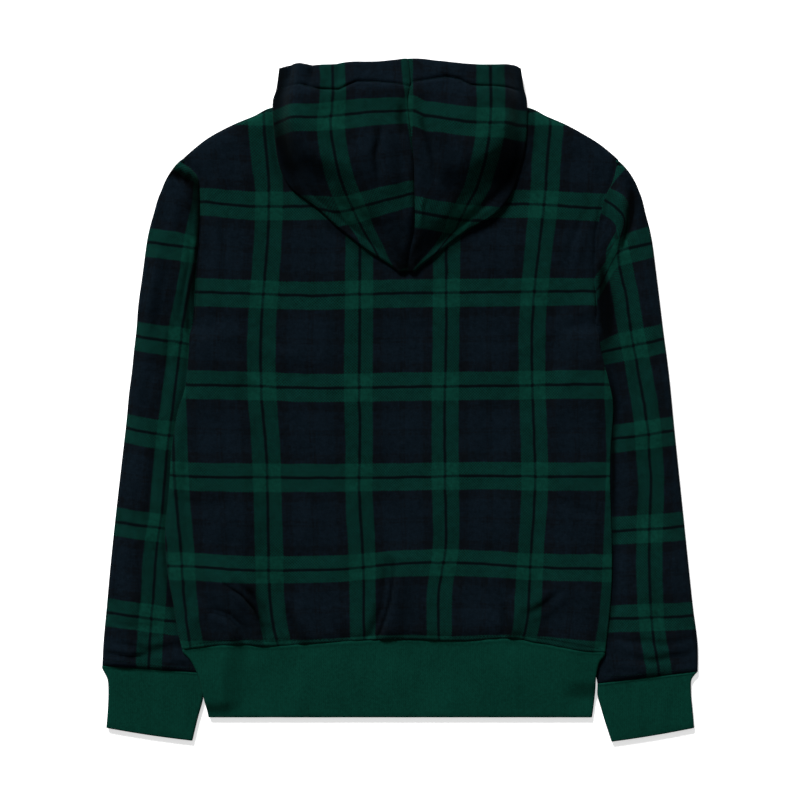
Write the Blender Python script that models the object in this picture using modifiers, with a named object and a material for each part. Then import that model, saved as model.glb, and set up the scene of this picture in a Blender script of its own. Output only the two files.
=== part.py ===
"""Fleece hoodie laid flat on its front, with its hood folded down on its back.

Frame: metres, +Z up, +Y towards the hood, +X to the right of somebody who looks down on it.
The origin lies on the surface that the hoodie rests on, in the middle of its outline.
Each piece that a maker cuts is one cloth wall: an open sheet or tube, thickened by Solidify.
Neighbouring pieces meet at their seam lines with a small gap between them.
"""

import math

import bmesh
import bpy
from mathutils import Vector

MM = 0.001

# ---- Driving dimensions, in millimetres ------------------------------------------------------
CLOTH = 2.4                # thickness of the fleece
AIR = 1.4                  # air between two layers of one tube
SEAM_GAP = 0.3             # space left between two pieces at a seam
LAYER = CLOTH + AIR        # from the middle of one layer to the middle of the next
SEAM_STRAIGHT = 0.4        # upright stretch of a wall beside a side seam
FOLD_RADIUS = (LAYER - SEAM_GAP) / 2 - SEAM_STRAIGHT   # round edge above that stretch
TUBE_RADIUS = LAYER / 2    # round edge of a tube
TUBE_HEIGHT = CLOTH + LAYER            # a sleeve or the body, laid flat
SLEEVE_LIFT = TUBE_HEIGHT + SEAM_GAP   # how far the body is raised where it lies on a sleeve
LIFT_REACH = 20.0          # the body stays raised this far beyond the edge of the sleeve
LIFT_RAMP = 30.0           # and then comes down to the surface over this width
LIFT_LENGTH = 1.5          # the lift begins at the underarm, within this many rows of BODY_SIDES
LEFT_LIFT_END = (-344.0, 18.0)         # y where it ends over the left cuff, and over what length
RIGHT_LIFT_END = (-319.0, 25.0)
SLEEVE_CROWN = 2.4         # extra fullness of the sleeves along their outer part
CROWN_WIDTH = 0.42         # share of a sleeve's width that has it
CROWN_START = (1.0, 3.0)   # row of a sleeve where it begins, and over how many rows
CROWN_END = 2.0            # over how many rows it ends above the cuff seam
ARMHOLE_FADE = 5.0         # rows over which a sleeve's rings lose the armhole's curve
ROUND_SEAM_GAP = 3 * SEAM_GAP          # space at a round edge of the armhole seam
HOOD_FOLD_RADIUS = 3.0     # round fold along the lower outline of the dropped hood
HOOD_SIDE_RADIUS = 6.0     # wider fold beside the neck
HOOD_RISE_WIDTH = 24.0     # how quickly the hood rises inwards from its folds
HOOD_RISE_POWER = 1.4      # how round that rise is
HOOD_FRONT_DEPTH = 16.0    # length of the front ends of the hood at the throat
HOOD_TIP_LENGTH = 10.0     # length of the hood's last station
FOLD_STEPS = (0.0, 45.0, 90.0)         # angles of the rows that form a round edge
SEAM_STEPS = (-1.0,) + FOLD_STEPS      # the same at a seam, with the end of its upright stretch
FLAT_INSETS = (SEAM_GAP / 2, 0.35, 1.4, 2.55)   # where those rows lie on an edge that stays flat
SIDE_ROLL_ROWS = 2.5       # the side seam becomes round within this many rows below the underarm
TOP_ROLL_WIDTH = 0.22      # the shoulder becomes round within this share of the width
TOP_ROLL_AT_NECK = 0.42    # how round it is where it meets the neckline
EDGE_PROBE = 0.06          # share of the width used to find the way in from an edge

UNDERARM_STATION = 6       # row of BODY_SIDES where the armhole ends and the side seam begins
NECK_STATION = 5           # row of BACK_TOP and FRONT_TOP where the shoulder meets the neckline

# Outline of the body from the shoulder tips to the hem, a row for each station
BODY_SIDES = [
    # left_x, left_y, right_x, right_y
    (-251.9, 274.9, 250.7, 276.0),     # shoulder tip
    (-233.5, 257.6, 243.8, 249.6),
    (-230.0, 235.8, 234.6, 230.0),
    (-230.6, 189.8, 226.0, 189.8),
    (-234.0, 147.2, 224.3, 143.8),
    (-236.9, 101.2, 226.6, 106.9),
    (-238.1, 86.3, 225.4, 86.3),       # underarm
    (-238.9, 73.6, 225.6, 73.6),
    (-239.8, 55.2, 228.4, 55.2),
    (-246.1, 13.8, 239.2, 20.7),
    (-255.3, -17.3, 244.4, -9.2),
    (-262.2, -63.3, 241.5, -59.8),
    (-264.5, -100.1, 241.0, -100.1),
    (-269.1, -155.3, 242.7, -149.5),
    (-265.7, -201.3, 243.2, -195.5),
    (-259.9, -232.3, 241.5, -230.0),
    (-254.7, -264.5, 238.1, -264.5),
    (-249.6, -285.2, 235.2, -288.7),   # hem seam
]

# Top edge of the back, shoulder, back neckline, shoulder
BACK_TOP = [
    # share, x, y
    (0.000, -251.9, 274.9),
    (0.040, -232.3, 292.1),
    (0.080, -216.2, 304.8),
    (0.124, -192.0, 317.4),
    (0.167, -169.0, 326.6),
    (0.211, -146.1, 336.4),            # shoulder seam meets the neckline
    (0.290, -105.0, 331.2),
    (0.390, -54.0, 327.6),
    (0.500, 0.0, 326.6),
    (0.610, 54.0, 327.6),
    (0.710, 105.0, 331.2),
    (0.789, 146.1, 336.4),
    (0.833, 169.0, 326.6),
    (0.876, 191.0, 317.4),
    (0.920, 213.9, 304.8),
    (0.960, 231.7, 292.1),
    (1.000, 250.7, 276.0),
]

# Front neckline, which dips to the throat under the back panel
FRONT_NECK_DROP = [
    # share, drop below the back neckline
    (0.211, 0.0),
    (0.290, 21.0),
    (0.390, 37.0),
    (0.500, 42.0),
    (0.610, 37.0),
    (0.710, 21.0),
    (0.789, 0.0),
]

HEM = [
    # share, x, y
    (0.00, -249.6, -285.2),
    (0.08, -213.0, -280.6),
    (0.16, -178.0, -279.6),
    (0.22, -152.0, -282.9),
    (0.36, -82.0, -279.5),
    (0.50, -8.0, -278.0),
    (0.66, 72.0, -276.4),
    (0.76, 124.0, -273.7),
    (0.82, 155.0, -275.5),
    (0.88, 183.0, -281.0),
    (0.94, 208.0, -285.6),
    (1.00, 235.2, -288.7),
]

WAISTBAND_SIDES = [
    # left_x, left_y, right_x, right_y
    (-249.6, -285.2, 235.2, -288.7),   # hem seam
    (-248.6, -289.2, 234.5, -292.7),
    (-240.0, -298.5, 228.5, -301.0),
    (-231.5, -316.0, 224.8, -318.0),
    (-226.5, -336.0, 224.2, -336.0),
    (-222.6, -352.0, 222.5, -352.0),
    (-220.2, -364.0, 220.8, -364.0),   # lower edge
]

# Sleeves: each row is a section, from the fold at the outer edge to the fold under the body
SLEEVE_LEFT = [
    # outer_x, outer_y, inner_x, inner_y, space kept from the inner point
    (-251.9, 274.9, -238.1, 86.3, 0.0),     # armhole
    (-273.7, 241.5, -238.3, 83.3, 3.0),     # the sleeve turns downwards about the underarm
    (-282.9, 213.9, -238.3, 83.3, 3.0),
    (-289.8, 186.3, -238.3, 83.3, 3.0),
    (-295.6, 144.9, -238.3, 83.3, 3.0),
    (-300.7, 109.3, -238.3, 83.3, 3.0),
    (-303.0, 80.5, -238.3, 83.3, 3.0),
    (-305.9, 55.2, -241.3, 60.5, 0.0),
    (-308.2, 32.2, -227.6, 41.0, 0.0),
    (-311.7, 4.6, -212.8, 17.3, 0.0),
    (-314.5, -25.3, -204.7, -17.3, 0.0),
    (-320.3, -75.9, -201.3, -78.2, 0.0),
    (-326.6, -131.1, -201.3, -138.0, 0.0),
    (-332.4, -186.3, -204.7, -197.8, 0.0),
    (-337.0, -236.9, -212.8, -246.1, 0.0),
    (-340.6, -276.0, -219.7, -281.8, 0.0),
    (-342.1, -304.8, -224.8, -313.4, 0.0),  # cuff seam
]

SLEEVE_RIGHT = [
    # outer_x, outer_y, inner_x, inner_y, space kept from the inner point
    (250.7, 276.0, 225.4, 86.3, 0.0),       # armhole
    (273.7, 241.5, 225.2, 83.3, 3.0),       # the sleeve turns downwards about the underarm
    (281.8, 213.9, 225.2, 83.3, 3.0),
    (288.7, 186.3, 225.2, 83.3, 3.0),
    (294.4, 144.9, 225.2, 83.3, 3.0),
    (299.0, 109.3, 225.2, 83.3, 3.0),
    (302.5, 80.5, 225.2, 83.3, 3.0),
    (305.9, 55.2, 229.9, 60.5, 0.0),
    (308.8, 32.2, 223.1, 41.0, 0.0),
    (311.7, 4.6, 211.6, 17.3, 0.0),
    (314.5, -25.3, 203.6, -17.3, 0.0),
    (319.7, -75.9, 200.1, -78.2, 0.0),
    (325.5, -131.1, 200.1, -138.0, 0.0),
    (331.2, -186.3, 203.6, -197.8, 0.0),
    (336.6, -236.9, 211.6, -248.4, 0.0),
    (341.9, -278.3, 218.5, -285.2, 0.0),
    (342.2, -311.7, 226.6, -325.5, 0.0),    # cuff seam
]

CUFF_LEFT = [
    # outer_x, outer_y, inner_x, inner_y
    (-342.1, -304.8, -224.8, -313.4),  # cuff seam
    (-342.0, -308.5, -224.8, -317.3),
    (-336.4, -319.7, -224.8, -327.7),
    (-335.2, -333.5, -226.0, -343.8),
    (-335.8, -354.2, -231.7, -364.5),
    (-337.5, -376.1, -238.1, -391.0),  # open end
]

CUFF_RIGHT = [
    # outer_x, outer_y, inner_x, inner_y
    (342.2, -311.7, 226.6, -325.5),    # cuff seam
    (342.0, -315.5, 226.6, -329.3),
    (336.4, -324.3, 226.6, -339.2),
    (334.7, -338.1, 230.0, -351.9),
    (336.4, -356.5, 235.8, -371.4),
    (338.1, -376.1, 242.7, -392.1),    # open end
]

# Hood: stations from its opening edge down to the lowest point of the folded outline
HOOD_SHOULDER_STATION = 2  # here the fold passes from the front neckline to the back
HOOD_EDGE_LEFT = [
    # x, y, height of the fold above the surface
    (-138.6, 379.5, 10.3),             # corner of the opening edge
    (-143.2, 356.0, 10.3),
    (-148.0, 338.5, 10.3),             # shoulder
    (-143.8, 302.5, 10.3),
    (-138.0, 266.8, 10.3),
    (-124.2, 241.5, 10.3),
    (-97.8, 221.5, 10.3),
    (-71.3, 197.8, 10.3),
    (-39.1, 172.5, 10.3),
    (-12.7, 155.2, 10.3),
    (-3.0, 147.0, 10.3),
]
HOOD_EDGE_RIGHT = [
    # x, y, height of the fold above the surface
    (138.6, 379.5, 10.3),              # corner of the opening edge
    (143.2, 356.0, 10.3),
    (148.0, 338.5, 10.3),              # shoulder
    (144.9, 299.0, 10.3),
    (138.0, 264.5, 10.3),
    (126.5, 233.5, 10.3),
    (107.5, 211.6, 10.3),
    (75.9, 193.2, 10.3),
    (46.0, 170.2, 10.3),
    (27.0, 156.0, 10.3),
    (18.0, 146.9, 10.3),
]
HOOD_SEAM = [
    # x, y, lower_x, lower_y, rise of the upper layer above its fold
    (8.0, 392.0, 8.0, 392.0, 15.0),    # opening edge
    (12.0, 362.0, 8.0, 362.0, 18.0),
    (9.0, 336.0, 0.0, 325.0, 21.0),
    (12.5, 302.0, 3.0, 298.0, 22.0),
    (15.5, 269.0, 5.0, 266.0, 21.0),
    (16.2, 236.0, 7.0, 236.0, 19.0),
    (16.8, 209.0, 8.0, 209.0, 15.0),
    (15.8, 192.0, 8.5, 192.0, 11.0),
    (11.5, 172.5, 9.0, 172.5, 6.0),
    (9.2, 156.5, 9.2, 156.5, 1.5),
    (9.0, 146.5, 9.0, 146.5, 0.0),
]
HOOD_COLUMNS = (0.0, 0.12, 0.26, 0.42, 0.6, 0.8)   # shares of a half, from the centre seam out

# Soft folds of the back panel: ridges above it, or hollows below it
BACK_FOLDS = [
    # x1, y1, x2, y2, height, half width
    (-200.0, -206.0, -160.0, -250.0, 1.8, 24.0),
    (-190.0, -120.0, -120.0, -190.0, 1.2, 40.0),
    (176.0, -226.0, 150.0, -246.0, 1.2, 24.0),
    (40.0, 20.0, 60.0, -200.0, 0.9, 70.0),
]

BODY_COLUMNS = (0.039, 0.083, 0.125, 0.167, 0.211, 0.29, 0.39, 0.5,
                0.61, 0.71, 0.789, 0.833, 0.875, 0.917, 0.961)
BODY_ROWS = (1.0, 1.5, 2.0, 2.5, 3.0, 3.5, 4.0, 4.5, 5.0, 5.5, 6.0, 6.5, 7.0, 7.5, 8.0,
             8.5, 9.0, 10.0, 10.5, 11.0, 12.0, 13.0, 13.5, 14.0, 15.0, 16.0, 16.5)
ARMHOLE_ROWS = tuple(row for row in BODY_ROWS if row < UNDERARM_STATION)
CUFF_COLUMNS = (0.2, 0.4, 0.6, 0.8)


def clear_scene():
    """Remove everything from the opened file."""
    for item in list(bpy.data.objects):
        bpy.data.objects.remove(item, do_unlink=True)


def spline(rows, station):
    """Read a table of numbers at a fractional row, along a smooth curve through its rows."""
    last = len(rows) - 1
    station = min(max(station, 0.0), float(last))
    index = min(int(station), last - 1)
    share = station - index
    before = rows[max(index - 1, 0)]
    start = rows[index]
    end = rows[index + 1]
    after = rows[min(index + 2, last)]
    values = []
    for a, b, c, d in zip(before, start, end, after):
        values.append(b + 0.5 * share * (c - a + share * (2 * a - 5 * b + 4 * c - d
                                                          + share * (3 * (b - c) + d - a))))
    return values


def lookup(rows, share):
    """Read the columns after the first of a table, at a value of its first column."""
    index = 0
    while index < len(rows) - 2 and share > rows[index + 1][0]:
        index += 1
    low, high = rows[index][0], rows[index + 1][0]
    return spline([row[1:] for row in rows], index + (share - low) / (high - low))


def smooth(value):
    """Ease from 0 to 1."""
    value = min(max(value, 0.0), 1.0)
    return value * value * (3.0 - 2.0 * value)


def mix(a, b, share):
    """Blend two points or numbers."""
    return a + (b - a) * share


def hidden_edge(sleeve, cuff):
    """List the inner fold of a sleeve and its cuff as (y, x), from the underarm down."""
    below_armhole = [row for row in sleeve if not row[4]][1:]
    return [(row[3], row[2]) for row in below_armhole + cuff]


INNER_EDGE_LEFT = hidden_edge(SLEEVE_LEFT, CUFF_LEFT)
INNER_EDGE_RIGHT = hidden_edge(SLEEVE_RIGHT, CUFF_RIGHT)


def edge_x(edge, y):
    """Find how far in a sleeve reaches at a height y of the layout."""
    for (y_high, x_high), (y_low, x_low) in zip(edge, edge[1:]):
        if y >= y_low:
            share = (y_high - y) / (y_high - y_low)
            return mix(x_high, x_low, min(max(share, 0.0), 1.0))
    return edge[-1][1]


def lift(x, y):
    """Height that the body and waistband gain where they lie over a sleeve or a cuff."""
    underarm = BODY_SIDES[UNDERARM_STATION]
    below = spline(BODY_SIDES, UNDERARM_STATION + LIFT_LENGTH)
    rise = smooth((underarm[1] - y) / (underarm[1] - below[1]))
    left_end = 1.0 - smooth((LEFT_LIFT_END[0] - y) / LEFT_LIFT_END[1])
    right_end = 1.0 - smooth((RIGHT_LIFT_END[0] - y) / RIGHT_LIFT_END[1])
    left = smooth((edge_x(INNER_EDGE_LEFT, y) + LIFT_REACH + LIFT_RAMP - x) / LIFT_RAMP)
    right = smooth((x - edge_x(INNER_EDGE_RIGHT, y) + LIFT_REACH + LIFT_RAMP) / LIFT_RAMP)
    return SLEEVE_LIFT * rise * max(left * left_end, right * right_end)


def soft_folds(x, y):
    """Sum the soft folds of the back panel at a point."""
    height = 0.0
    for x1, y1, x2, y2, rise, half_width in BACK_FOLDS:
        along = Vector((x2 - x1, y2 - y1))
        offset = Vector((x - x1, y - y1))
        share = min(max(offset.dot(along) / along.length_squared, 0.0), 1.0)
        distance = (offset - along * share).length
        height += rise * math.exp(-(distance / half_width) ** 2)
    return height


def front_height(x, y):
    """Height of the middle of the front panel's wall."""
    return CLOTH / 2 + lift(x, y)


def back_height(x, y):
    """Height of the middle of the back panel's wall."""
    return CLOTH / 2 + LAYER + lift(x, y) + soft_folds(x, y)


def round_edge(angle, rolled):
    """Inset from the outline, and fall towards the seam, of one row of a round edge."""
    turn = math.radians(max(angle, 0.0))
    inset = CLOTH / 2 + FOLD_RADIUS * (1.0 - math.cos(turn))
    flat = FLAT_INSETS[SEAM_STEPS.index(angle)]
    fall = FOLD_RADIUS * (1.0 - math.sin(turn)) + (SEAM_STRAIGHT if angle < 0.0 else 0.0)
    return mix(flat, inset, rolled), fall * rolled


def front_top(share):
    """Top edge of the front panel, with its lower neckline."""
    x, y = lookup(BACK_TOP, share)
    if FRONT_NECK_DROP[0][0] < share < FRONT_NECK_DROP[-1][0]:
        y -= lookup(FRONT_NECK_DROP, share)[0]
    return Vector((x, y))


def back_top(share):
    """Top edge of the back panel."""
    return Vector(lookup(BACK_TOP, share))


def hem_line(share):
    """Seam line between the body and the waistband."""
    return Vector(lookup(HEM, share))


def patch(top, bottom, sides, u, v):
    """Point of a sheet spread between its four edges."""
    row = spline(sides, v * (len(sides) - 1))
    left, right = Vector(row[0:2]), Vector(row[2:4])
    across = mix(left, right, u)
    down = mix(top(u), bottom(u), v)
    corners = mix(mix(top(0.0), top(1.0), u), mix(bottom(0.0), bottom(1.0), u), v)
    return across + down - corners


def inset_point(at, u, v, step_u, step_v):
    """Point of a sheet moved in from its edge by real distances across and down it."""
    point = at(u, v)
    if step_u:
        toward = at(mix(u, 0.5, EDGE_PROBE), v) - point
        point = point + toward.normalized() * step_u
    if step_v:
        toward = at(u, mix(v, 0.5, EDGE_PROBE)) - point
        point = point + toward.normalized() * step_v
    return point


def panel_columns():
    """Columns of a body panel: share of the width, and angle of a round edge or None."""
    left = [(0.0, angle) for angle in SEAM_STEPS]
    right = [(1.0, angle) for angle in reversed(SEAM_STEPS)]
    return left + [(share, None) for share in BODY_COLUMNS] + right


def sheet(name, columns, rows, place):
    """Build an open sheet of columns by rows, each vertex at place(column, row)."""
    mesh = bmesh.new()
    bmesh.ops.create_grid(mesh, x_segments=columns - 1, y_segments=rows - 1, size=1.0)
    mesh.verts.ensure_lookup_table()
    for index, vertex in enumerate(mesh.verts):
        vertex.co = Vector(place(index % columns, index // columns)) * MM
    bmesh.ops.remove_doubles(mesh, verts=mesh.verts, dist=0.00001)
    data = bpy.data.meshes.new(name)
    mesh.to_mesh(data)
    mesh.free()
    return data


def cloth_material(name, colour):
    """Matt fleece of one colour."""
    material = bpy.data.materials.new(name)
    material.use_nodes = True
    shader = material.node_tree.nodes["Principled BSDF"]
    shader.inputs["Base Color"].default_value = (*colour, 1.0)
    shader.inputs["Roughness"].default_value = 0.95
    shader.inputs["Metallic"].default_value = 0.0
    shader.inputs["Sheen Weight"].default_value = 0.3
    return material


def add_piece(name, data, material, collection):
    """Put a cloth wall of real thickness into the collection."""
    piece = bpy.data.objects.new(name, data)
    collection.objects.link(piece)
    data.materials.append(material)
    data.shade_smooth()
    wall = piece.modifiers.new("Cloth wall", "SOLIDIFY")
    wall.thickness = CLOTH * MM
    wall.offset = 0.0
    wall.use_even_offset = True
    return piece


def body_panel(name, top, is_back):
    """Build the back or the front, with round edges at the shoulders and side seams."""
    columns = panel_columns()
    last = len(BODY_SIDES) - 1
    rows = [(0.0, angle) for angle in SEAM_STEPS] + [(row / last, None) for row in BODY_ROWS]
    rows.append((1.0, None))

    def at(u, v):
        return patch(top, hem_line, BODY_SIDES, u, v)

    def place(column, row):
        u, side_angle = columns[column]
        v, top_angle = rows[row]
        rolled_side = min(max((v * last - UNDERARM_STATION) / SIDE_ROLL_ROWS, 0.0), 1.0)
        beyond_neck = abs(u - 0.5) - 0.5 + BACK_TOP[NECK_STATION][0]
        rolled_top = min(max(beyond_neck / TOP_ROLL_WIDTH + TOP_ROLL_AT_NECK, 0.0), 1.0)
        step_u = step_v = fall_u = fall_v = 0.0
        if side_angle is not None:
            step_u, fall_u = round_edge(side_angle, rolled_side)
        if top_angle is not None:
            step_v, fall_v = round_edge(top_angle, rolled_top)
        if v == 1.0:
            step_v = SEAM_GAP / 2
        point = inset_point(at, u, v, step_u, step_v)
        fall = max(fall_u, fall_v)
        if is_back:
            return point.x, point.y, back_height(point.x, point.y) - fall
        return point.x, point.y, front_height(point.x, point.y) + fall

    return sheet(name, len(columns), len(rows), place)


def ring_columns(shares):
    """Go once round a flat tube: share across, angle of a round edge or None, and layer."""
    outer = [(0.0, angle, 1) for angle in FOLD_STEPS]
    inner = [(1.0, angle, 1) for angle in reversed(FOLD_STEPS)]
    top = outer + [(share, None, 1) for share in shares] + inner
    bottom = [(share, angle, -1) for share, angle, _ in reversed(top)]
    return top + bottom[1:]


def ring_point(section, column, middle, half):
    """Point of a flat tube's section, from its path, its mid height and its half height."""
    share, angle, layer = column
    sine = 1.0
    inset = 0.0
    if angle is not None:
        turn = math.radians(angle)
        inset = CLOTH / 2 + TUBE_RADIUS * (1.0 - math.cos(turn))
        sine = math.sin(turn)
    point = section(share)
    if inset:
        toward = section(mix(share, 0.5, EDGE_PROBE)) - point
        point = point + toward.normalized() * inset
    height = middle(point.x, point.y) + layer * sine * half(share)
    return point.x, point.y, height


def armhole_shares(side):
    """Share of the armhole's length that lies above each of the body's rows."""
    steps = 60
    points = []
    for index in range(steps + 1):
        row = spline(BODY_SIDES, UNDERARM_STATION * index / steps)
        points.append(Vector(row[2 * side:2 * side + 2]))
    lengths = [0.0]
    for start, end in zip(points, points[1:]):
        lengths.append(lengths[-1] + (end - start).length)
    shares = []
    for row in ARMHOLE_ROWS:
        place = row / UNDERARM_STATION * steps
        shares.append(mix(lengths[int(place)], lengths[min(int(place) + 1, steps)],
                          place - int(place)) / lengths[-1])
    return shares


def sleeve(name, table, side):
    """Build a sleeve: a flat tube from the armhole seam to the cuff seam."""
    shares = armhole_shares(side)
    columns = ring_columns(shares)
    known = [0.0] + shares + [1.0]
    body_rows = [0.0] + list(ARMHOLE_ROWS) + [float(UNDERARM_STATION)]

    def armhole(share):
        index = 0
        while index < len(known) - 2 and share > known[index + 1]:
            index += 1
        part = (share - known[index]) / (known[index + 1] - known[index])
        row = spline(BODY_SIDES, mix(body_rows[index], body_rows[index + 1], part))
        return Vector(row[2 * side:2 * side + 2])

    def place(column, row):
        outer_x, outer_y, inner_x, inner_y, space = table[row]
        outer, inner = Vector((outer_x, outer_y)), Vector((inner_x, inner_y))
        inner += (outer - inner).normalized() * space
        curve = (1.0 - min(row / ARMHOLE_FADE, 1.0)) ** 2

        def section(share):
            straight = mix(outer, inner, share)
            chord = mix(armhole(0.0), armhole(1.0), share)
            return straight + (armhole(share) - chord) * curve

        def half(share):
            crown = SLEEVE_CROWN * math.sin(math.pi * min(share / CROWN_WIDTH, 1.0)) ** 2
            ends = smooth((row - CROWN_START[0]) / CROWN_START[1])
            ends *= smooth((len(table) - 1 - row) / CROWN_END)
            return LAYER / 2 + crown * ends / 2

        def middle(x, y):
            return CLOTH / 2 + half(columns[column][0])

        share, angle, layer = columns[column]
        if row > 0 and angle is None:
            edge = (CLOTH / 2 + TUBE_RADIUS) / (inner - outer).length
            share = mix(edge, 1.0 - edge, share)
        x, y, z = ring_point(section, (share, angle, layer), middle, half)
        if row == 0:
            along = armhole(min(share + EDGE_PROBE / 3, 1.0)) - armhole(max(share - EDGE_PROBE / 3, 0.0))
            outward = Vector((along.y, -along.x)).normalized() * (1 if side == 0 else -1)
            gap = SEAM_GAP if angle is None else ROUND_SEAM_GAP
            x += outward.x * gap
            y += outward.y * gap
        return x, y, z

    return sheet(name, len(columns), len(table), place)


def cuff(name, table):
    """Build a cuff: a flat tube from the sleeve to its open end."""
    columns = ring_columns(CUFF_COLUMNS)

    def place(column, row):
        outer_x, outer_y, inner_x, inner_y = table[row]
        outer, inner = Vector((outer_x, outer_y)), Vector((inner_x, inner_y))

        def section(share):
            return mix(outer, inner, share)

        def middle(x, y):
            return CLOTH / 2 + LAYER / 2

        def half(share):
            return LAYER / 2

        x, y, z = ring_point(section, columns[column], middle, half)
        if row == 0:
            y -= SEAM_GAP
        return x, y, z

    return sheet(name, len(columns), len(table), place)


def waistband(name):
    """Build the waistband: a flat tube from the hem seam to its lower edge."""
    columns = ring_columns(BODY_COLUMNS)
    last = len(WAISTBAND_SIDES) - 1
    lower_left, lower_right = WAISTBAND_SIDES[-1][0:2], WAISTBAND_SIDES[-1][2:4]

    def lower_edge(share):
        return mix(Vector(lower_left), Vector(lower_right), share)

    def place(column, row):
        v = row / last

        def section(share):
            return patch(hem_line, lower_edge, WAISTBAND_SIDES, share, v)

        def middle(x, y):
            return front_height(x, y) + LAYER / 2

        def half(share):
            return LAYER / 2

        x, y, z = ring_point(section, columns[column], middle, half)
        if row == 0:
            y -= SEAM_GAP / 2
        return x, y, z

    return sheet(name, len(columns), len(WAISTBAND_SIDES), place)


def hood_half(name, edge, side):
    """Build one half of the hood: upper layer, front end at the throat, and layer on the back.

    The three sheets join along the folded outline, and the two halves meet at the centre seam.
    """
    last = len(edge) - 1
    lower_height = CLOTH / 2 + LAYER + CLOTH + SEAM_GAP
    inward = 1 if side == 0 else -1
    end_rows = []
    for angle in reversed(FOLD_STEPS):
        inset, _ = round_edge(angle, 1.0)
        end_rows.append((last - inset / HOOD_TIP_LENGTH, angle))
    upper_rows = [(0.0, None), (1.0, None)]
    upper_rows += [(0.5 * half_row, None) for half_row in range(4, 2 * last - 1)] + end_rows
    lower_rows = [row for row in upper_rows if row[0] >= HOOD_SHOULDER_STATION]
    front_rows = [row for row in upper_rows if row[0] <= HOOD_SHOULDER_STATION]
    columns = [(share, None) for share in HOOD_COLUMNS]
    columns += [(1.0, angle) for angle in reversed(FOLD_STEPS)]

    def fold_point(station):
        x, y, height = spline(edge, station)
        seam = spline(HOOD_SEAM, station)
        start = Vector((x, y))
        toward = Vector(seam[0:2]) - start
        return start + toward.normalized() * (CLOTH / 2), height

    def fold_inset(station, angle):
        width = mix(HOOD_SIDE_RADIUS, HOOD_FOLD_RADIUS, smooth(station / HOOD_SHOULDER_STATION))
        return width * (1.0 - math.cos(math.radians(angle)))

    def layer_point(station, column, target):
        fold, height = fold_point(station)
        share, angle = column
        path = target - fold
        inset = fold_inset(station, FOLD_STEPS[-1] if angle is None else angle)
        if share < 1.0:
            inset = mix(path.length - SEAM_GAP / 2, inset, share)
        turn = math.sin(math.radians(angle)) if angle is not None else 1.0
        return fold + path.normalized() * inset, height, turn, inset / path.length

    def upper(column, row):
        station, end_angle = upper_rows[row]
        seam = spline(HOOD_SEAM, station)
        target = Vector(seam[0:2])
        point, height, turn, share = layer_point(station, columns[column], target)
        width = (target - fold_point(station)[0]).length
        fullness = 1.0 - math.exp(-(share * width / HOOD_RISE_WIDTH) ** HOOD_RISE_POWER)
        fullness /= 1.0 - math.exp(-(width / HOOD_RISE_WIDTH) ** HOOD_RISE_POWER)
        end = math.sin(math.radians(end_angle)) if end_angle is not None else 1.0
        height += (HOOD_FOLD_RADIUS * turn + seam[4] * fullness) * end
        return point.x, point.y, height

    def lower(column, row):
        station, end_angle = lower_rows[row]
        seam = spline(HOOD_SEAM, station)
        point, height, turn, _ = layer_point(station, columns[column], Vector(seam[2:4]))
        end = math.sin(math.radians(end_angle)) if end_angle is not None else 1.0
        return point.x, point.y, height - (height - lower_height) * turn * end

    def front(column, row):
        station = front_rows[row][0]
        part = station / HOOD_SHOULDER_STATION
        share, angle = columns[column]
        fold, height = fold_point(station)
        corner, shoulder = fold_point(0.0)[0], fold_point(float(HOOD_SHOULDER_STATION))[0]
        neck = BACK_TOP[NECK_STATION][0]
        throat = front_top(0.5)
        throat_end = Vector((-inward * SEAM_GAP / 2, throat.y + HOOD_FRONT_DEPTH))
        neck_end = Vector((-inward * SEAM_GAP / 2, throat.y + SEAM_GAP))

        def path(reach):
            top_line = mix(corner, throat_end, reach)
            place = mix(neck, 0.5, reach)
            index = max(i for i, value in enumerate(BODY_COLUMNS[:-1]) if value <= place + 1e-9)
            low, high = BODY_COLUMNS[index], BODY_COLUMNS[index + 1]
            ends = [front_top(value if side == 0 else 1.0 - value) for value in (low, high)]
            neckline = mix(ends[0], ends[1], (place - low) / (high - low))
            neckline = neckline + Vector((0.0, SEAM_GAP))
            offset = (shoulder - front_top(neck if side == 0 else 1.0 - neck)) * (1.0 - reach)
            neckline += offset
            if reach == 1.0:
                neckline = neck_end
            return mix(top_line, neckline, part)

        start_error = fold - path(0.0)
        if share == 1.0:
            toward = path(EDGE_PROBE) + start_error * (1.0 - EDGE_PROBE) - fold
            point = fold + toward.normalized() * fold_inset(station, angle)
        else:
            reach = 1.0 - share
            point = path(reach) + start_error * (1.0 - reach)
        turn = math.sin(math.radians(angle)) if angle is not None else 1.0
        return point.x, point.y, height - (height - CLOTH / 2) * turn

    mesh = bmesh.new()
    layers = ((upper, upper_rows), (front, front_rows), (lower, lower_rows))
    for layer, rows in layers:
        grid = bmesh.ops.create_grid(mesh, x_segments=len(columns) - 1,
                                     y_segments=len(rows) - 1, size=1.0)
        for index, vertex in enumerate(grid["verts"]):
            vertex.co = Vector(layer(index % len(columns), index // len(columns))) * MM
    bmesh.ops.remove_doubles(mesh, verts=mesh.verts, dist=0.00001)
    bmesh.ops.recalc_face_normals(mesh, faces=mesh.faces)
    data = bpy.data.meshes.new(name)
    mesh.to_mesh(data)
    mesh.free()
    return data


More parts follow.
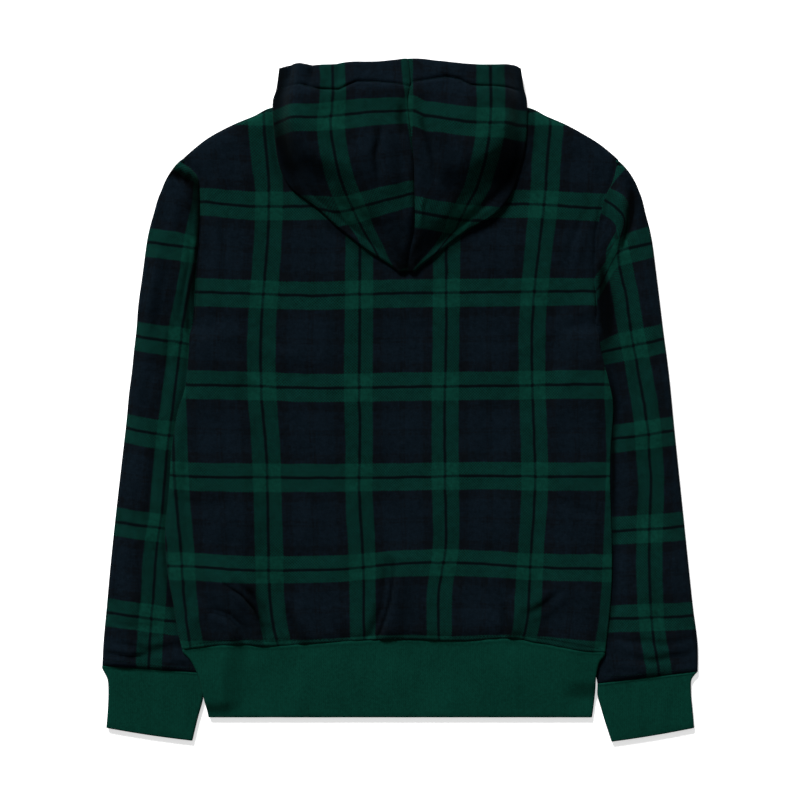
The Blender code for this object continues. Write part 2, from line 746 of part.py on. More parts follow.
def main():
    """Build every piece of the hoodie."""
    clear_scene()
    collection = bpy.data.collections.new("Fleece hoodie")
    bpy.context.scene.collection.children.link(collection)
    plaid = cloth_material("Plaid fleece", (0.012, 0.045, 0.04))
    plain = cloth_material("Plain green rib", (0.012, 0.055, 0.045))
    pieces = [
        ("back_panel", body_panel("back_panel", back_top, True), plaid),
        ("front_panel", body_panel("front_panel", front_top, False), plaid),
        ("sleeve_left", sleeve("sleeve_left", SLEEVE_LEFT, 0), plaid),
        ("sleeve_right", sleeve("sleeve_right", SLEEVE_RIGHT, 1), plaid),
        ("cuff_left", cuff("cuff_left", CUFF_LEFT), plain),
        ("cuff_right", cuff("cuff_right", CUFF_RIGHT), plain),
        ("waistband", waistband("waistband"), plain),
        ("hood_left", hood_half("hood_left", HOOD_EDGE_LEFT, 0), plaid),
        ("hood_right", hood_half("hood_right", HOOD_EDGE_RIGHT, 1), plaid),
    ]
    for name, data, material in pieces:
        add_piece(name, data, material.copy(), collection)


main()
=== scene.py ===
"""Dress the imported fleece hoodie: tartan fleece body, sleeves and hood, plain cuffs and waistband.

The hoodie lies on its front, laid flat, with its hood folded down on its back. The tables are in
the layout's frame (X to the right, Y towards the hood, Z up): outlines in millimetres, and
creases, bands and stitches in steps of a grid of 1.15 mm. All of it becomes metres where a
vertex is placed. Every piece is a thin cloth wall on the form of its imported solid.
"""
from __future__ import annotations

import logging
import math
from dataclasses import dataclass, field
from enum import Enum
from typing import Callable, Sequence, TypeVar, Union

import bmesh
import bpy
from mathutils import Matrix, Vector, noise
from mathutils.bvhtree import BVHTree


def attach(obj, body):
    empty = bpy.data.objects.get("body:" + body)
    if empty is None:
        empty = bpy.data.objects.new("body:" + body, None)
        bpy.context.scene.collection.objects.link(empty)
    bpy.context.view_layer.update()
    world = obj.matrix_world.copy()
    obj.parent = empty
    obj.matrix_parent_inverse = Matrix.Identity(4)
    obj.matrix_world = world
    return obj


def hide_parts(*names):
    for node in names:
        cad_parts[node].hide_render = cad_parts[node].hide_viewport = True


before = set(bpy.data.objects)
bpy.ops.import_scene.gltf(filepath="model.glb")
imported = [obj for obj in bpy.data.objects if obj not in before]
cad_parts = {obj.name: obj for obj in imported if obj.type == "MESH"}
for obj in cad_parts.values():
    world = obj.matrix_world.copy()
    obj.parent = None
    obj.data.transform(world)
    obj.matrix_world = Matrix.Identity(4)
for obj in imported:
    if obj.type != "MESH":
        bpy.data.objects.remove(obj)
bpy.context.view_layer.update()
LOG = logging.getLogger("hoodie")

MM = 0.001
GRID = 1.15                # step of the grid that creases, bands and stitches are given on
CLOTH = 2.4                # fleece and knit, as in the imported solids
WALL = 2.0                 # thickness that the dressed walls show at their rims
AIR = 1.4                  # between two layers that lie on each other
SEAM_GAP = 0.3
LAYER = CLOTH + AIR
SEAM_STRAIGHT = 0.4
FOLD_RADIUS = (LAYER - SEAM_GAP) / 2 - SEAM_STRAIGHT
TUBE_RADIUS = LAYER / 2
SLEEVE_LIFT = CLOTH + LAYER + SEAM_GAP
LIFT_REACH = 20.0
LIFT_RAMP = 30.0
SLEEVE_CROWN = 2.4
DEEPEST = 1.1              # most that a trough sinks where cloth lies on cloth
HOOD_FOLD_RADIUS = 3.0
HOOD_SIDE_RADIUS = 6.0
HOOD_RISE_WIDTH = 24.0
HOOD_FRONT_DEPTH = 16.0
UNDERARM_STATION = 6
HOOD_SHOULDER_STATION = 2
NECK_ROW = 5               # row of BACK_TOP where the shoulder seam meets the neckline
FOLD_STEPS = (0.0, 18.0, 36.0, 54.0, 72.0, 90.0)     # degrees up a round edge, row by row
SEAM_STEPS = (-1.0,) + FOLD_STEPS                    # -1 is the foot of the edge, at its seam
INWARD = 0.06              # share of the way to the middle that shows which way is inward
DARKEST = 0.85             # most light that the painted dark of a fold takes away
MERGE = 0.01               # vertices nearer than this become one, in millimetres

Rows = Sequence[Sequence[float]]
Place = tuple[float, float, float]
Colour = tuple[float, float, float]
Column = tuple[float, Union[float, None]]     # share across, and angle on a round edge if any
Blended = TypeVar("Blended", float, Vector)
NodeValue = Union[float, tuple[float, ...], bpy.types.NodeSocket, bpy.types.NodeTree]

# Outline of the body from the shoulder tips to the hem, a row for each station
BODY_SIDES = [
    # left_x, left_y, right_x, right_y
    (-251.9, 274.9, 250.7, 276),      # shoulder tip
    (-233.5, 257.6, 243.8, 249.6),
    (-230, 235.8, 234.6, 230),
    (-230.6, 189.8, 226, 189.8),
    (-234, 147.2, 224.3, 143.8),
    (-236.9, 101.2, 226.6, 106.9),
    (-238.1, 86.3, 225.4, 86.3),      # underarm
    (-240.6, 73.6, 227.4, 73.6),
    (-241.6, 55.2, 230.2, 55.2),
    (-246.1, 13.8, 239.2, 20.7),
    (-255.3, -17.3, 244.4, -9.2),
    (-262.2, -63.3, 241.5, -59.8),
    (-264.5, -100.1, 241, -100.1),
    (-269.1, -155.3, 242.7, -149.5),
    (-265.7, -201.3, 243.2, -195.5),
    (-259.9, -232.3, 241.5, -230),
    (-254.7, -264.5, 238.1, -264.5),
    (-249.6, -285.2, 235.2, -288.7),  # hem seam
]

# Top edge of the back, shoulder, back neckline, shoulder
BACK_TOP = [
    # share, x, y
    (0.000, -251.9, 274.9),
    (0.040, -232.3, 292.1),
    (0.080, -215.6, 303.9),
    (0.124, -191.4, 316.2),
    (0.167, -168.6, 325.4),
    (0.211, -144.4, 335.6),  # shoulder seam meets the neckline
    (0.290, -105, 331.2),
    (0.390, -54, 327.6),
    (0.500, 0, 326.6),
    (0.610, 54, 327.6),
    (0.710, 105, 331.2),
    (0.789, 144.4, 335.6),
    (0.833, 168.6, 325.4),
    (0.876, 190.4, 316.2),
    (0.920, 213.3, 303.9),
    (0.960, 231.7, 292.1),
    (1.000, 250.7, 276),
]

# Front neckline, which dips to the throat under the back panel
FRONT_NECK_DROP = [
    # share, drop below the back neckline
    (0.211, 0),
    (0.290, 21),
    (0.390, 37),
    (0.500, 42),
    (0.610, 37),
    (0.710, 21),
    (0.789, 0),
]

# Seam line between the body and the waistband
HEM = [
    # share, x, y
    (0.00, -249.6, -286.2),
    (0.08, -213, -282),
    (0.16, -178, -281.4),
    (0.22, -152, -283.6),
    (0.36, -82, -279),
    (0.50, -8, -275),
    (0.66, 72, -276.6),
    (0.76, 124, -273.7),
    (0.82, 155, -278.6),
    (0.88, 183, -283.6),
    (0.94, 208, -287.8),
    (1.00, 235.2, -289.4),
]

WAISTBAND_SIDES = [
    # left_x, left_y, right_x, right_y
    (-249.6, -285.2, 235.2, -288.7),  # hem seam
    (-248.6, -289.2, 234.5, -292.7),
    (-240, -298.5, 228.5, -301),
    (-231.5, -316, 224.8, -318),
    (-226.5, -336, 224.2, -336),
    (-222.6, -352, 222.5, -352),
    (-220.2, -364, 220.8, -364),      # lower edge
]

# Sleeves: each row is a section, from the fold at the outer edge to the fold under the body
SLEEVE_LEFT = [
    # outer_x, outer_y, inner_x, inner_y, space kept from the inner point
    (-251.9, 274.9, -238.1, 86.3, 0),     # armhole
    (-273.7, 241.5, -238.3, 83.3, 3),     # the sleeve turns downwards about the underarm
    (-282.9, 213.9, -238.3, 83.3, 3),
    (-289.8, 186.3, -238.3, 83.3, 3),
    (-295.6, 144.9, -238.3, 83.3, 3),
    (-300.7, 109.3, -238.3, 83.3, 3),
    (-303, 80.5, -237, 82.2, 3),
    (-305.9, 55.2, -231.5, 62.8, 0),
    (-308.2, 32.2, -221, 42, 0),
    (-311.7, 4.6, -212.8, 17.3, 0),
    (-314.5, -25.3, -204.7, -17.3, 0),
    (-320.3, -75.9, -201.3, -78.2, 0),
    (-326.6, -131.1, -201.3, -138, 0),
    (-332.4, -186.3, -204.7, -197.8, 0),
    (-337, -236.9, -212.8, -246.1, 0),
    (-340.6, -276, -219.7, -281.8, 0),
    (-342.1, -304.8, -224.8, -313.4, 0),  # cuff seam
]

SLEEVE_RIGHT = [
    # outer_x, outer_y, inner_x, inner_y, space kept from the inner point
    (250.7, 276, 225.4, 86.3, 0),       # armhole
    (273.7, 241.5, 225.2, 83.3, 3),     # the sleeve turns downwards about the underarm
    (281.8, 213.9, 225.2, 83.3, 3),
    (288.7, 186.3, 225.2, 83.3, 3),
    (294.4, 144.9, 225.2, 83.3, 3),
    (299, 109.3, 225.2, 83.3, 3),
    (302.5, 80.5, 224, 82.2, 3),
    (305.9, 55.2, 221.5, 62, 0),
    (308.8, 32.2, 219.6, 41, 0),
    (311.7, 4.6, 211.6, 17.3, 0),
    (314.5, -25.3, 203.6, -17.3, 0),
    (319.7, -75.9, 200.1, -78.2, 0),
    (325.5, -131.1, 200.1, -138, 0),
    (331.2, -186.3, 203.6, -197.8, 0),
    (336.6, -236.9, 211.6, -248.4, 0),
    (341.9, -278.3, 218.5, -285.2, 0),
    (342.2, -311.7, 226.6, -325.5, 0),  # cuff seam
]

CUFF_LEFT = [
    # outer_x, outer_y, inner_x, inner_y
    (-342.1, -304.8, -224.8, -313.4),  # cuff seam
    (-342, -308.5, -224.8, -317.3),
    (-336.4, -319.7, -224.8, -327.7),
    (-335.2, -333.5, -226, -343.8),
    (-335.8, -354.2, -231.7, -364.5),
    (-337.5, -376.1, -238.1, -391),    # open end
]

CUFF_RIGHT = [
    # outer_x, outer_y, inner_x, inner_y
    (341.6, -311.7, 226.6, -325.5),  # cuff seam
    (338.6, -315.1, 226.6, -329.3),
    (334.8, -322, 226.6, -339.2),
    (334.7, -338.1, 230, -351.9),
    (336.4, -356.5, 235.8, -371.4),
    (338.1, -376.1, 242.7, -392.1),  # open end
]

# Hood: stations from its opening edge down to the lowest point of the folded outline
HOOD_EDGE_LEFT = [
    # x, y, height of the fold above the surface
    (-138.6, 379.5, 10.3),  # corner of the opening edge
    (-141.8, 356, 10.3),
    (-146.2, 338.5, 10.3),  # shoulder
    (-143.8, 302.5, 10.3),
    (-138, 266.8, 10.3),
    (-124.2, 241.5, 10.3),
    (-97.8, 221.5, 10.3),
    (-71.3, 197.8, 10.3),
    (-39.1, 172.5, 10.3),
    (-12.7, 155.2, 10.3),
    (-3, 147, 10.3),
]
HOOD_EDGE_RIGHT = [
    # x, y, height of the fold above the surface
    (138.6, 379.5, 10.3),  # corner of the opening edge
    (142.4, 356, 10.3),
    (145.8, 338.5, 10.3),  # shoulder
    (144.9, 299, 10.3),
    (138, 264.5, 10.3),
    (126.5, 233.5, 10.3),
    (107.5, 211.6, 10.3),
    (75.9, 193.2, 10.3),
    (46, 170.2, 10.3),
    (27, 156, 10.3),
    (18, 146.9, 10.3),
]
HOOD_SEAM = [
    # x, y, lower_x, lower_y, rise of the upper layer above its fold
    (8, 392, 8, 392, 15),  # opening edge
    (12, 362, 8, 362, 18),
    (9, 336, 0, 325, 21),
    (12.5, 302, 3, 298, 22),
    (15.5, 269, 5, 266, 21),
    (16.2, 236, 7, 236, 19),
    (16.8, 209, 8, 209, 15),
    (15.8, 192, 8.5, 192, 11),
    (11.5, 172.5, 9, 172.5, 6),
    (9.2, 156.5, 9.2, 156.5, 1.5),
    (9, 146.5, 9, 146.5, 0),
]


def clamp(value: float, low: float = 0.0, high: float = 1.0) -> float:
    """Keep a value between two limits."""
    return min(max(value, low), high)


def spline(rows: Rows, station: float) -> list[float]:
    """Read a table at a fractional row, along a smooth curve through its rows.

    Args:
        rows: Table of numbers.
        station: Row number, which may lie between two rows.

    Returns:
        One number for each column.
    """
    last = len(rows) - 1
    station = clamp(station, 0.0, float(last))
    index = min(int(station), last - 1)
    share = station - index
    before, start = rows[max(index - 1, 0)], rows[index]
    end, after = rows[index + 1], rows[min(index + 2, last)]
    return [b + 0.5 * share * (c - a + share * (2 * a - 5 * b + 4 * c - d
                                                + share * (3 * (b - c) + d - a)))
            for a, b, c, d in zip(before, start, end, after)]


def count_to(marks: Sequence[float], value: float) -> float:
    """Count the steps from the first mark to a value, with the fraction of the last step.

    Args:
        marks: Places of the marks, rising or falling.
        value: Place to count to.

    Returns:
        The count.
    """
    sign = 1.0 if marks[-1] > marks[0] else -1.0
    index = 0
    while index < len(marks) - 2 and sign * (value - marks[index + 1]) > 0.0:
        index += 1
    return index + (value - marks[index]) / (marks[index + 1] - marks[index])


def lookup(rows: Rows, value: float) -> list[float]:
    """Read the other columns of a table at a value of its first, rising or falling, column.

    Args:
        rows: Table of numbers.
        value: Value of the first column.

    Returns:
        One number for each column after the first.
    """
    return spline([row[1:] for row in rows], count_to([row[0] for row in rows], value))


def smooth(value: float) -> float:
    """Ease from 0 to 1."""
    value = clamp(value)
    return value * value * (3.0 - 2.0 * value)


def mix(start: Blended, end: Blended, share: float) -> Blended:
    """Blend two points or two numbers."""
    return start + (end - start) * share


def bell(distance: float, width: float) -> float:
    """Soft bump of height 1 that fades over a width."""
    return math.exp(-(distance / width) ** 2)


def uneven(x: float, y: float, size: float, seed: float) -> float:
    """Smooth unevenness between about -1 and 1, with soft lumps of a size in millimetres."""
    return noise.noise(Vector((x / size, y / size, seed)))


def rumple(x: float, y: float, seed: float) -> float:
    """Soft rumples of cloth that has been worn and laid down.

    Args:
        x: Place across the layout.
        y: Place up the layout.
        seed: Picks another set of rumples.

    Returns:
        Height in millimetres.
    """
    bent = 14.0 * uneven(x, y, 90.0, seed + 20.0)
    height = 0.9 + 2.4 * uneven(x + bent, y * 0.6, 52.0, seed)
    height += 1.3 * uneven(x + bent, y * 0.8, 21.0, seed + 3.0)
    return height + 0.3 * uneven(x, y, 8.5, seed + 6.0)


def kept_clear(height: float) -> float:
    """Limit a trough so that the cloth stays clear of the layer below it."""
    return height if height > 0.0 else -DEEPEST * (1.0 - math.exp(height / DEEPEST))


@dataclass(frozen=True)
class Crease:
    """A soft crease of the cloth: a ridge or a trough that follows a short path.

    Attributes:
        rise: Height of the ridge, or negative depth of the trough, in millimetres.
        width: Half width of its slopes.
        lean: Extra height on its left bank and depth on its right one.
        path: Points x, y that it follows.
    """
    rise: float
    width: float
    lean: float
    path: tuple[tuple[float, float], ...]

    def height(self, x: float, y: float) -> float:
        """Height that the crease adds at a point.

        Args:
            x: Place across the layout.
            y: Place up the layout.

        Returns:
            Height in millimetres.
        """
        reach = 3.0 * self.width
        for value, along in zip((x, y), zip(*self.path)):
            if not min(along) - reach < value < max(along) + reach:
                return 0.0
        best, side, place = 1e9, 0.0, 0.0
        count = len(self.path) - 1
        for index in range(count):
            (x1, y1), (x2, y2) = self.path[index], self.path[index + 1]
            run_x, run_y = x2 - x1, y2 - y1
            squared = run_x * run_x + run_y * run_y
            share = clamp(((x - x1) * run_x + (y - y1) * run_y) / squared)
            off_x, off_y = x - x1 - run_x * share, y - y1 - run_y * share
            distance = math.hypot(off_x, off_y)
            if distance < best:
                best = distance
                side = (run_x * off_y - run_y * off_x) / math.sqrt(squared)
                place = (index + share) / count
        fade = math.sin(math.pi * (0.12 + 0.76 * place)) ** 0.8
        bank = side / self.width
        return fade * (self.rise + self.lean * bank) * bell(best, self.width)


def creased(creases: Sequence[Crease], x: float, y: float) -> float:
    """Sum a set of creases at a point."""
    return sum(crease.height(x, y) for crease in creases)


def on_grid(rows: Rows) -> tuple[tuple[float, ...], ...]:
    """Turn a table in steps of the grid into millimetres, to a tenth."""
    return tuple(tuple(round(GRID * step, 1) for step in row) for row in rows)


def creases_of(rows: Rows) -> tuple[Crease, ...]:
    """Read creases from a table.

    Args:
        rows: Rise, width and lean of each crease in millimetres, then x, y of each point of
            its path in steps of the grid.

    Returns:
        The creases, in the order of the table.
    """
    paths = on_grid([row[3:] for row in rows])
    return tuple(Crease(*row[:3], tuple(zip(path[::2], path[1::2])))
                 for row, path in zip(rows, paths))


@dataclass(frozen=True)
class PlaidMap:
    """Where the tartan's bands run on one piece, as measured along their fine middle lines.

    Attributes:
        warp: Rows of y, then the x of each upright band.
        weft: Rows of x, then the y of each level band.
    """
    warp: Rows
    weft: Rows

    def at(self, x: float, y: float) -> tuple[float, float]:
        """Cloth coordinates of a point of the layout.

        Args:
            x: Place across the layout.
            y: Place up the layout.

        Returns:
            Counts of upright and of level bands.
        """
        across = count_to(lookup(self.warp, clamp(y, self.warp[-1][0], self.warp[0][0])), x)
        down = count_to(lookup(self.weft, clamp(x, self.weft[0][0], self.weft[-1][0])), y)
        return across, down


BODY_WARP = on_grid((
    # y, x of the fine line in the middle of each upright band
    (340, -240, -138, -45, 50, 153, 240), (270, -240, -135, -43, 48, 149.5, 236),
    (228, -234, -131.5, -41.5, 47.2, 146, 234), (210, -220, -130.3, -41, 47, 145, 233),
    (168, -219, -131.5, -40, 46, 140.5, 228), (120, -222, -135, -40, 46, 135, 222),
    (70, -225, -138.5, -40, 46, 131.5, 218), (15, -226, -138.5, -40.5, 45, 132, 215.5),
    (-45, -225, -134, -40, 44.5, 134, 218), (-90, -223, -132, -40.5, 45, 134.5, 217),
    (-145, -218, -131, -37.5, 45.5, 131, 215), (-190, -215, -130.3, -36, 38.5, 128.7, 213),
    (-220, -212, -127, -36, 38, 126.5, 210), (-255, -207, -120, -35.5, 39, 120, 205),
))

BODY_WEFT = on_grid((
    # x, y of the fine line in the middle of each level band
    (-235, 288, 200, 109, 15.5, -74.5, -165, -253),
    (-200, 288, 198, 107.5, 15, -76.5, -166, -252.5),
    (-150, 288, 193, 106, 14, -77, -169.5, -251.5), (-90, 288, 193, 104, 12, -77.5, -169.5, -251),
    (-50, 288, 194, 105, 12, -77.5, -168, -249), (2, 288, 195, 106.5, 13, -77, -163, -246),
    (50, 288, 195, 107, 13.5, -76, -162, -248.5), (87, 288, 195, 107.5, 14, -75.5, -163.5, -247),
    (130, 288, 195, 108, 14.5, -76, -166.5, -247.5), (176, 288, 192, 108.5, 15.5, -76, -167, -251),
    (205, 288, 191, 108.5, 15, -76, -167.5, -254),
))

LEFT_SLEEVE_WARP = on_grid((
    # y, x of two upright bands
    (270, -272, -188), (222, -276, -192), (195, -279, -195), (165, -285, -201),
    (150, -287.5, -203.5), (132, -290, -206), (110, -294, -210), (90, -298, -214),
    (70, -301.5, -217.5), (37, -305, -221), (-13, -311, -227), (-53, -316, -232),
    (-113, -321, -237), (-146, -326, -242), (-202, -330, -246), (-223, -332, -248),
    (-263, -334, -250),
))

LEFT_SLEEVE_WEFT = on_grid((
    # x, y of each level band
    (-295, 253, 163, 69.2, -24, -120.6, -211.6, -302),
    (-240, 249, 156, 60, -34.1, -127.1, -218.5, -307.8),
    (-224, 242, 154, 58.4, -36, -128.6, -220.5, -309.5),
    (-210, 233, 152, 55.5, -39.5, -130.7, -222.2, -311),
    (-200, 226, 150.8, 53.3, -41.4, -131.8, -223.5, -312),
))

RIGHT_SLEEVE_WARP = on_grid((
    # y, x of three upright bands
    (250, 0, 140, 290), (216, 34, 176, 326), (210, 40, 189, 337), (204, 48, 198, 348),
    (198, 62, 207, 336), (192, 75, 215, 300), (185, 101, 221, 269), (178, 151, 223, 262),
    (170, 184, 221.5, 264), (162, 175, 219, 272), (150, 145, 217, 292), (138, 134, 218, 302),
    (128, 136, 220, 304), (110, 140, 224, 308), (70, 146, 230, 314), (33, 153, 237, 321),
    (-17, 161, 245, 329), (-50, 164, 248, 332), (-83, 166, 250, 334), (-125, 164.5, 248.5, 332.5),
    (-160, 164, 248, 332), (-195, 165, 249, 333), (-235, 168, 252, 336), (-273, 174, 258, 342),
))

RIGHT_SLEEVE_WEFT = on_grid((
    # x, y of each level band
    (195, 206, 108, 46, -41.5, -132, -218.4, -306.1),
    (203, 216, 121, 48.4, -40, -131.5, -218.1, -306),
    (211, 226.4, 137, 50.2, -39, -131, -217.9, -305.8),
    (217, 235, 147.4, 51.4, -38, -130.5, -217.7, -305.7),
    (226, 247, 150.4, 53.1, -37, -129.9, -217.3, -305.6),
    (240, 263, 154, 56, -35, -129, -216.8, -305.4),
    (260, 280, 159.5, 60.4, -32, -127.8, -216.2, -305),
    (300, 305, 170, 68.7, -27, -125, -214.8, -304),
))

LEFT_HOOD_WARP = on_grid((
    # y, x of two upright bands
    (340, -67, 13), (301, -66, 17), (269, -68, 21), (240, -64, 26), (215, -57.5, 34),
    (190, -47, 44), (170, -37, 40), (153, -27, 42), (138, -19, 42), (125, -11, 43),
))

LEFT_HOOD_WEFT = on_grid((
    # x, y of two level bands
    (-130, 273, 184), (-119, 276, 186.5), (-107, 277.5, 189), (-82, 277.5, 190), (-62, 279.5, 187),
    (-30, 282.5, 193), (-5, 284, 199), (15, 284.5, 203.5),
))

RIGHT_HOOD_WARP = on_grid((
    # y, x of two upright bands
    (340, -1, 89), (278, -1, 89), (249, -3, 86), (211, -10, 76), (184, -22, 62), (170, -16, 55),
    (159, -12, 46), (147, -14, 36), (134, -26, 24), (125, -30, 19),
))

RIGHT_HOOD_WEFT = on_grid((
    # x, y of two level bands
    (13, 284, 186), (24, 279.5, 184), (38, 277.5, 182), (61, 274, 179), (86, 272.5, 178),
    (125, 272, 174),
))

# Folds of the cloth: rise, width, lean, then x, y of each point of the path. The first table
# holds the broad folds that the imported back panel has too
BACK_FOLDS = creases_of((
    (1.8, 24, 0, -173.9, -179.1, -139.1, -217.4),
    (1.2, 40, 0, -165.2, -104.35, -104.35, -165.2),
    (1.2, 24, 0, 153.04, -196.5, 130.4, -213.9),
    (0.9, 70, 0, 34.8, 17.4, 52.2, -173.9),
))

BODY_CREASES = creases_of((
    (6.5, 17, 0, -200, -172, -178, -180, -160, -192, -148, -206, -141, -222, -138, -234),
    (-7.5, 6, 0, -164, -182, -149, -194, -139, -209, -133, -232),
    (-5.5, 1.9, 0, -174, -183, -157, -195, -146, -209, -139, -226, -134, -240),
    (4, 9, 0, -194, -213, -176, -219, -167, -228, -161, -240),
    (-4.4, 4.6, 0, -186, -209, -170, -214, -160, -224, -154, -238),
    (-3, 1.8, 0, -188, -212, -172, -217, -163, -226, -157, -240),
    (5.8, 14, 0, 3, -160, 0, -180, -2, -202, -8, -222, -16, -240),
    (-7.5, 7, 0, -11, -164, -12, -180, -15, -202, -22, -222, -30, -238),
    (-5.5, 1.8, 0, -5, -162, -6, -177, -9, -200, -15, -220, -23, -240),
    (3.6, 12, 0, 166, -190, 148, -202, 130, -216),
    (-5, 5, 0, 158, -192, 142, -205, 126, -214),
    (4, 8, 0, -100, -206, -98, -226, -96, -242),
    (-5, 5, 0, -110, -206, -107, -226, -104, -242),
    (3.4, 8, 0, 116, -202, 114, -220, 112, -238),
    (-4.6, 4.6, 0, 104, -206, 105, -222, 104, -238),
    (1.4, 6, 0, 30, -218, 32, -230, 34, -240),
    (-1.6, 2.4, 0, -54, -222, -52, -232, -50, -240),
    (2.2, 7, 0.8, -222, -20, -225, -70, -224, -130, -216, -190),
    (-2, 4.5, 0, -212, -30, -214, -90, -210, -150),
    (1.6, 9, -0.8, -202, 82, -168, 70, -124, 48, -90, 38),
    (1.4, 8, 0.6, -204, 55, -174, 38, -138, 8),
    (1.8, 8, 0.8, 200, 100, 166, 82, 130, 56, 100, 48),
    (1.4, 8, -0.6, 206, 50, 178, 28, 156, -2),
    (1.6, 9, 0.5, -70, 100, -76, 50, -78, 0),
    (1.4, 9, -0.5, 70, 70, 80, 10, 78, -50),
    (1.5, 10, 0.5, -100, -40, -90, -90, -94, -140),
    (1.5, 10, -0.5, 180, -30, 170, -90, 174, -140),
    (2, 7, 1, -196, 204, -186, 174, -182, 138),
    (-1.6, 4, 0, -190, 210, -178, 178, -174, 144),
    (2, 7, -1, 196, 184, 184, 160, 174, 132),
    (-1.6, 4, 0, 188, 194, 176, 168, 166, 138),
    (1.8, 8, 0.8, -168, 260, -156, 234, -152, 206),
    (1.6, 8, -0.8, 170, 260, 162, 232, 160, 204),
    (-2, 5, 0, 160, -102, 182, -112, 204, -114),
    (-1.6, 5, 0, -222, -98, -198, -108, -174, -104),
))

HOOD_CREASES = creases_of((
    (3, 11, 0, -126, 272, -114, 275, -100, 279),
    (-3.5, 9, 0, -118, 250, -110, 232, -98, 212),
    (3, 11, 0, 128, 266, 116, 270, 100, 276),
    (-3.5, 9, 0, 124, 240, 112, 222, 96, 202),
    (3.4, 3.6, 0, 21, 196, 21, 184, 18, 170),
    (3.4, 13, 0, -28, 272, -30, 250, -28, 224),
    (-4.6, 4, 0, -20, 264, -24, 240, -21, 212),
    (3, 11, 0, -8, 260, -10, 236, -8, 210),
    (3.4, 13, 0, 40, 270, 44, 244, 46, 216),
    (-4.6, 4, 0, 23, 274, 30, 246, 35, 218),
    (-3.4, 4.2, 0, 4, 294, 0, 278, 2, 262),
    (2.6, 9, 0.8, -104, 308, -106, 282, -102, 260),
    (-3.4, 5, 0, -114, 304, -116, 278, -112, 252),
    (2.2, 9, -0.8, 106, 308, 106, 278, 102, 250),
    (-3.2, 5, 0, 116, 304, 116, 276, 112, 250),
    (-3.2, 5.5, 0, -104, 228, -90, 206, -66, 184, -38, 162, -12, 142),
    (-3.2, 5.5, 0, 116, 228, 102, 208, 76, 186, 50, 164, 24, 140),
    (3.4, 7, 0.6, -100, 340, -98, 326, -100, 314),
    (-4.6, 4, 0, -109, 340, -108, 326, -110, 314),
    (3.4, 7, 0.6, -78, 340, -76, 326, -78, 314),
    (-4.6, 4, 0, -88, 340, -87, 326, -89, 312),
    (-2, 4, 0, -64, 340, -63, 328, -60, 314),
    (1.4, 6, 0, -44, 340, -43, 328, -44, 316),
    (1.6, 7, 0, 44, 342, 46, 330, 44, 320),
    (-1.8, 4, 0, 62, 340, 62, 328, 64, 314),
    (1.6, 7, 0, 86, 338, 86, 326, 86, 314),
    (2.2, 9, 0, -44, 204, -28, 186, -8, 168),
    (2.2, 9, 0, 60, 210, 46, 188, 30, 168),
    (-2.6, 4, 0, 24, 194, 20, 178, 16, 160),
))

CASING_LEFT = on_grid((
    # x, y
    (-119, 310), (-110, 310.5), (-98, 311), (-80, 306), (-60, 305), (-51, 310), (-43, 313.5),
    (-25, 313.5), (-4, 311.5), (3, 310), (9, 308),
))

CASING_RIGHT = on_grid((
    # x, y
    (10, 310), (14, 313.5), (28, 315.5), (45, 318), (58, 316), (71, 310), (90, 309), (110, 307.5),
    (121, 307),
))

HEM_STITCHES = on_grid((
    # x, y
    (-217, -245), (-187, -240), (-160, -237.5), (-135, -240), (-105, -238.5), (-20, -238),
    (80, -235.5), (102, -234), (113, -234), (137, -236.5), (163, -240), (183, -243.5),
    (203, -248.5),
))

LEFT_SLEEVE_CREASES = creases_of((
    (5, 6, 0, -234, 239, -221, 235, -206, 224),
    (-4, 4.2, 6.5, -240, 230, -229, 227.5, -220, 224.5, -210, 219.5, -206, 208, -206, 188),
    (3, 9, 0, -224, 214, -222, 194, -226, 168),
    (-3, 4, 0, -208, 160, -210, 134, -216, 104, -220, 80),
    (2.2, 8, 0.8, -240, 160, -248, 110, -252, 64),
    (-2.6, 5, 0, -228, 70, -232, 30, -238, -10),
    (2, 8, -0.6, -254, 50, -260, 0, -264, -40),
    (-2.4, 5, 0, -242, -40, -248, -90, -252, -130),
    (1.8, 8, 0.6, -268, -60, -270, -110, -274, -150),
    (-2, 4, 0, -260, -152, -256, -190, -260, -220),
    (2.4, 3.6, 0.8, -294, -247, -270, -251, -244, -247),
    (-2.6, 2.4, 0, -292, -252, -266, -256, -240, -251),
    (2.2, 3.4, 0, -282, -238, -254, -243, -222, -238),
    (-2.2, 2.4, 0, -274, -243, -250, -248, -214, -245),
    (1.8, 3.2, 0, -250, -255, -230, -260, -208, -258),
    (-1.8, 3, 0, -284, -222, -264, -227, -240, -225),
))

RIGHT_SLEEVE_CREASES = creases_of((
    (5.5, 7, 0, 218, 208, 220, 194, 218, 170, 214, 150),
    (-8, 4.6, 0, 230, 214, 231, 194, 229, 174, 223, 152),
    (-4, 3, 0, 208, 204, 202, 186, 199, 168),
    (-8, 8, 0, 210, 132, 206, 110, 205, 90, 206, 66),
    (2.4, 9, 0.8, 242, 140, 246, 100, 250, 60),
    (-2.6, 5, 0, 228, 70, 236, 24, 240, -16),
    (2, 8, 0.6, 252, 20, 258, -30, 260, -70),
    (-2.4, 5, 0, 230, -40, 240, -86, 242, -130),
    (1.8, 8, -0.5, 268, -100, 272, -150, 276, -200),
    (-2, 4, 0, 252, -160, 256, -200, 260, -230),
    (2.2, 3.6, 0, 222, -248, 248, -253, 288, -246),
    (-2.4, 2.4, 0, 228, -255, 252, -260, 290, -253),
    (2, 3.4, 0, 212, -262, 240, -267, 272, -264),
    (-2, 2.4, 0, 240, -240, 264, -243, 290, -238),
    (-1.8, 3, 0, 210, -236, 230, -241, 252, -240),
))

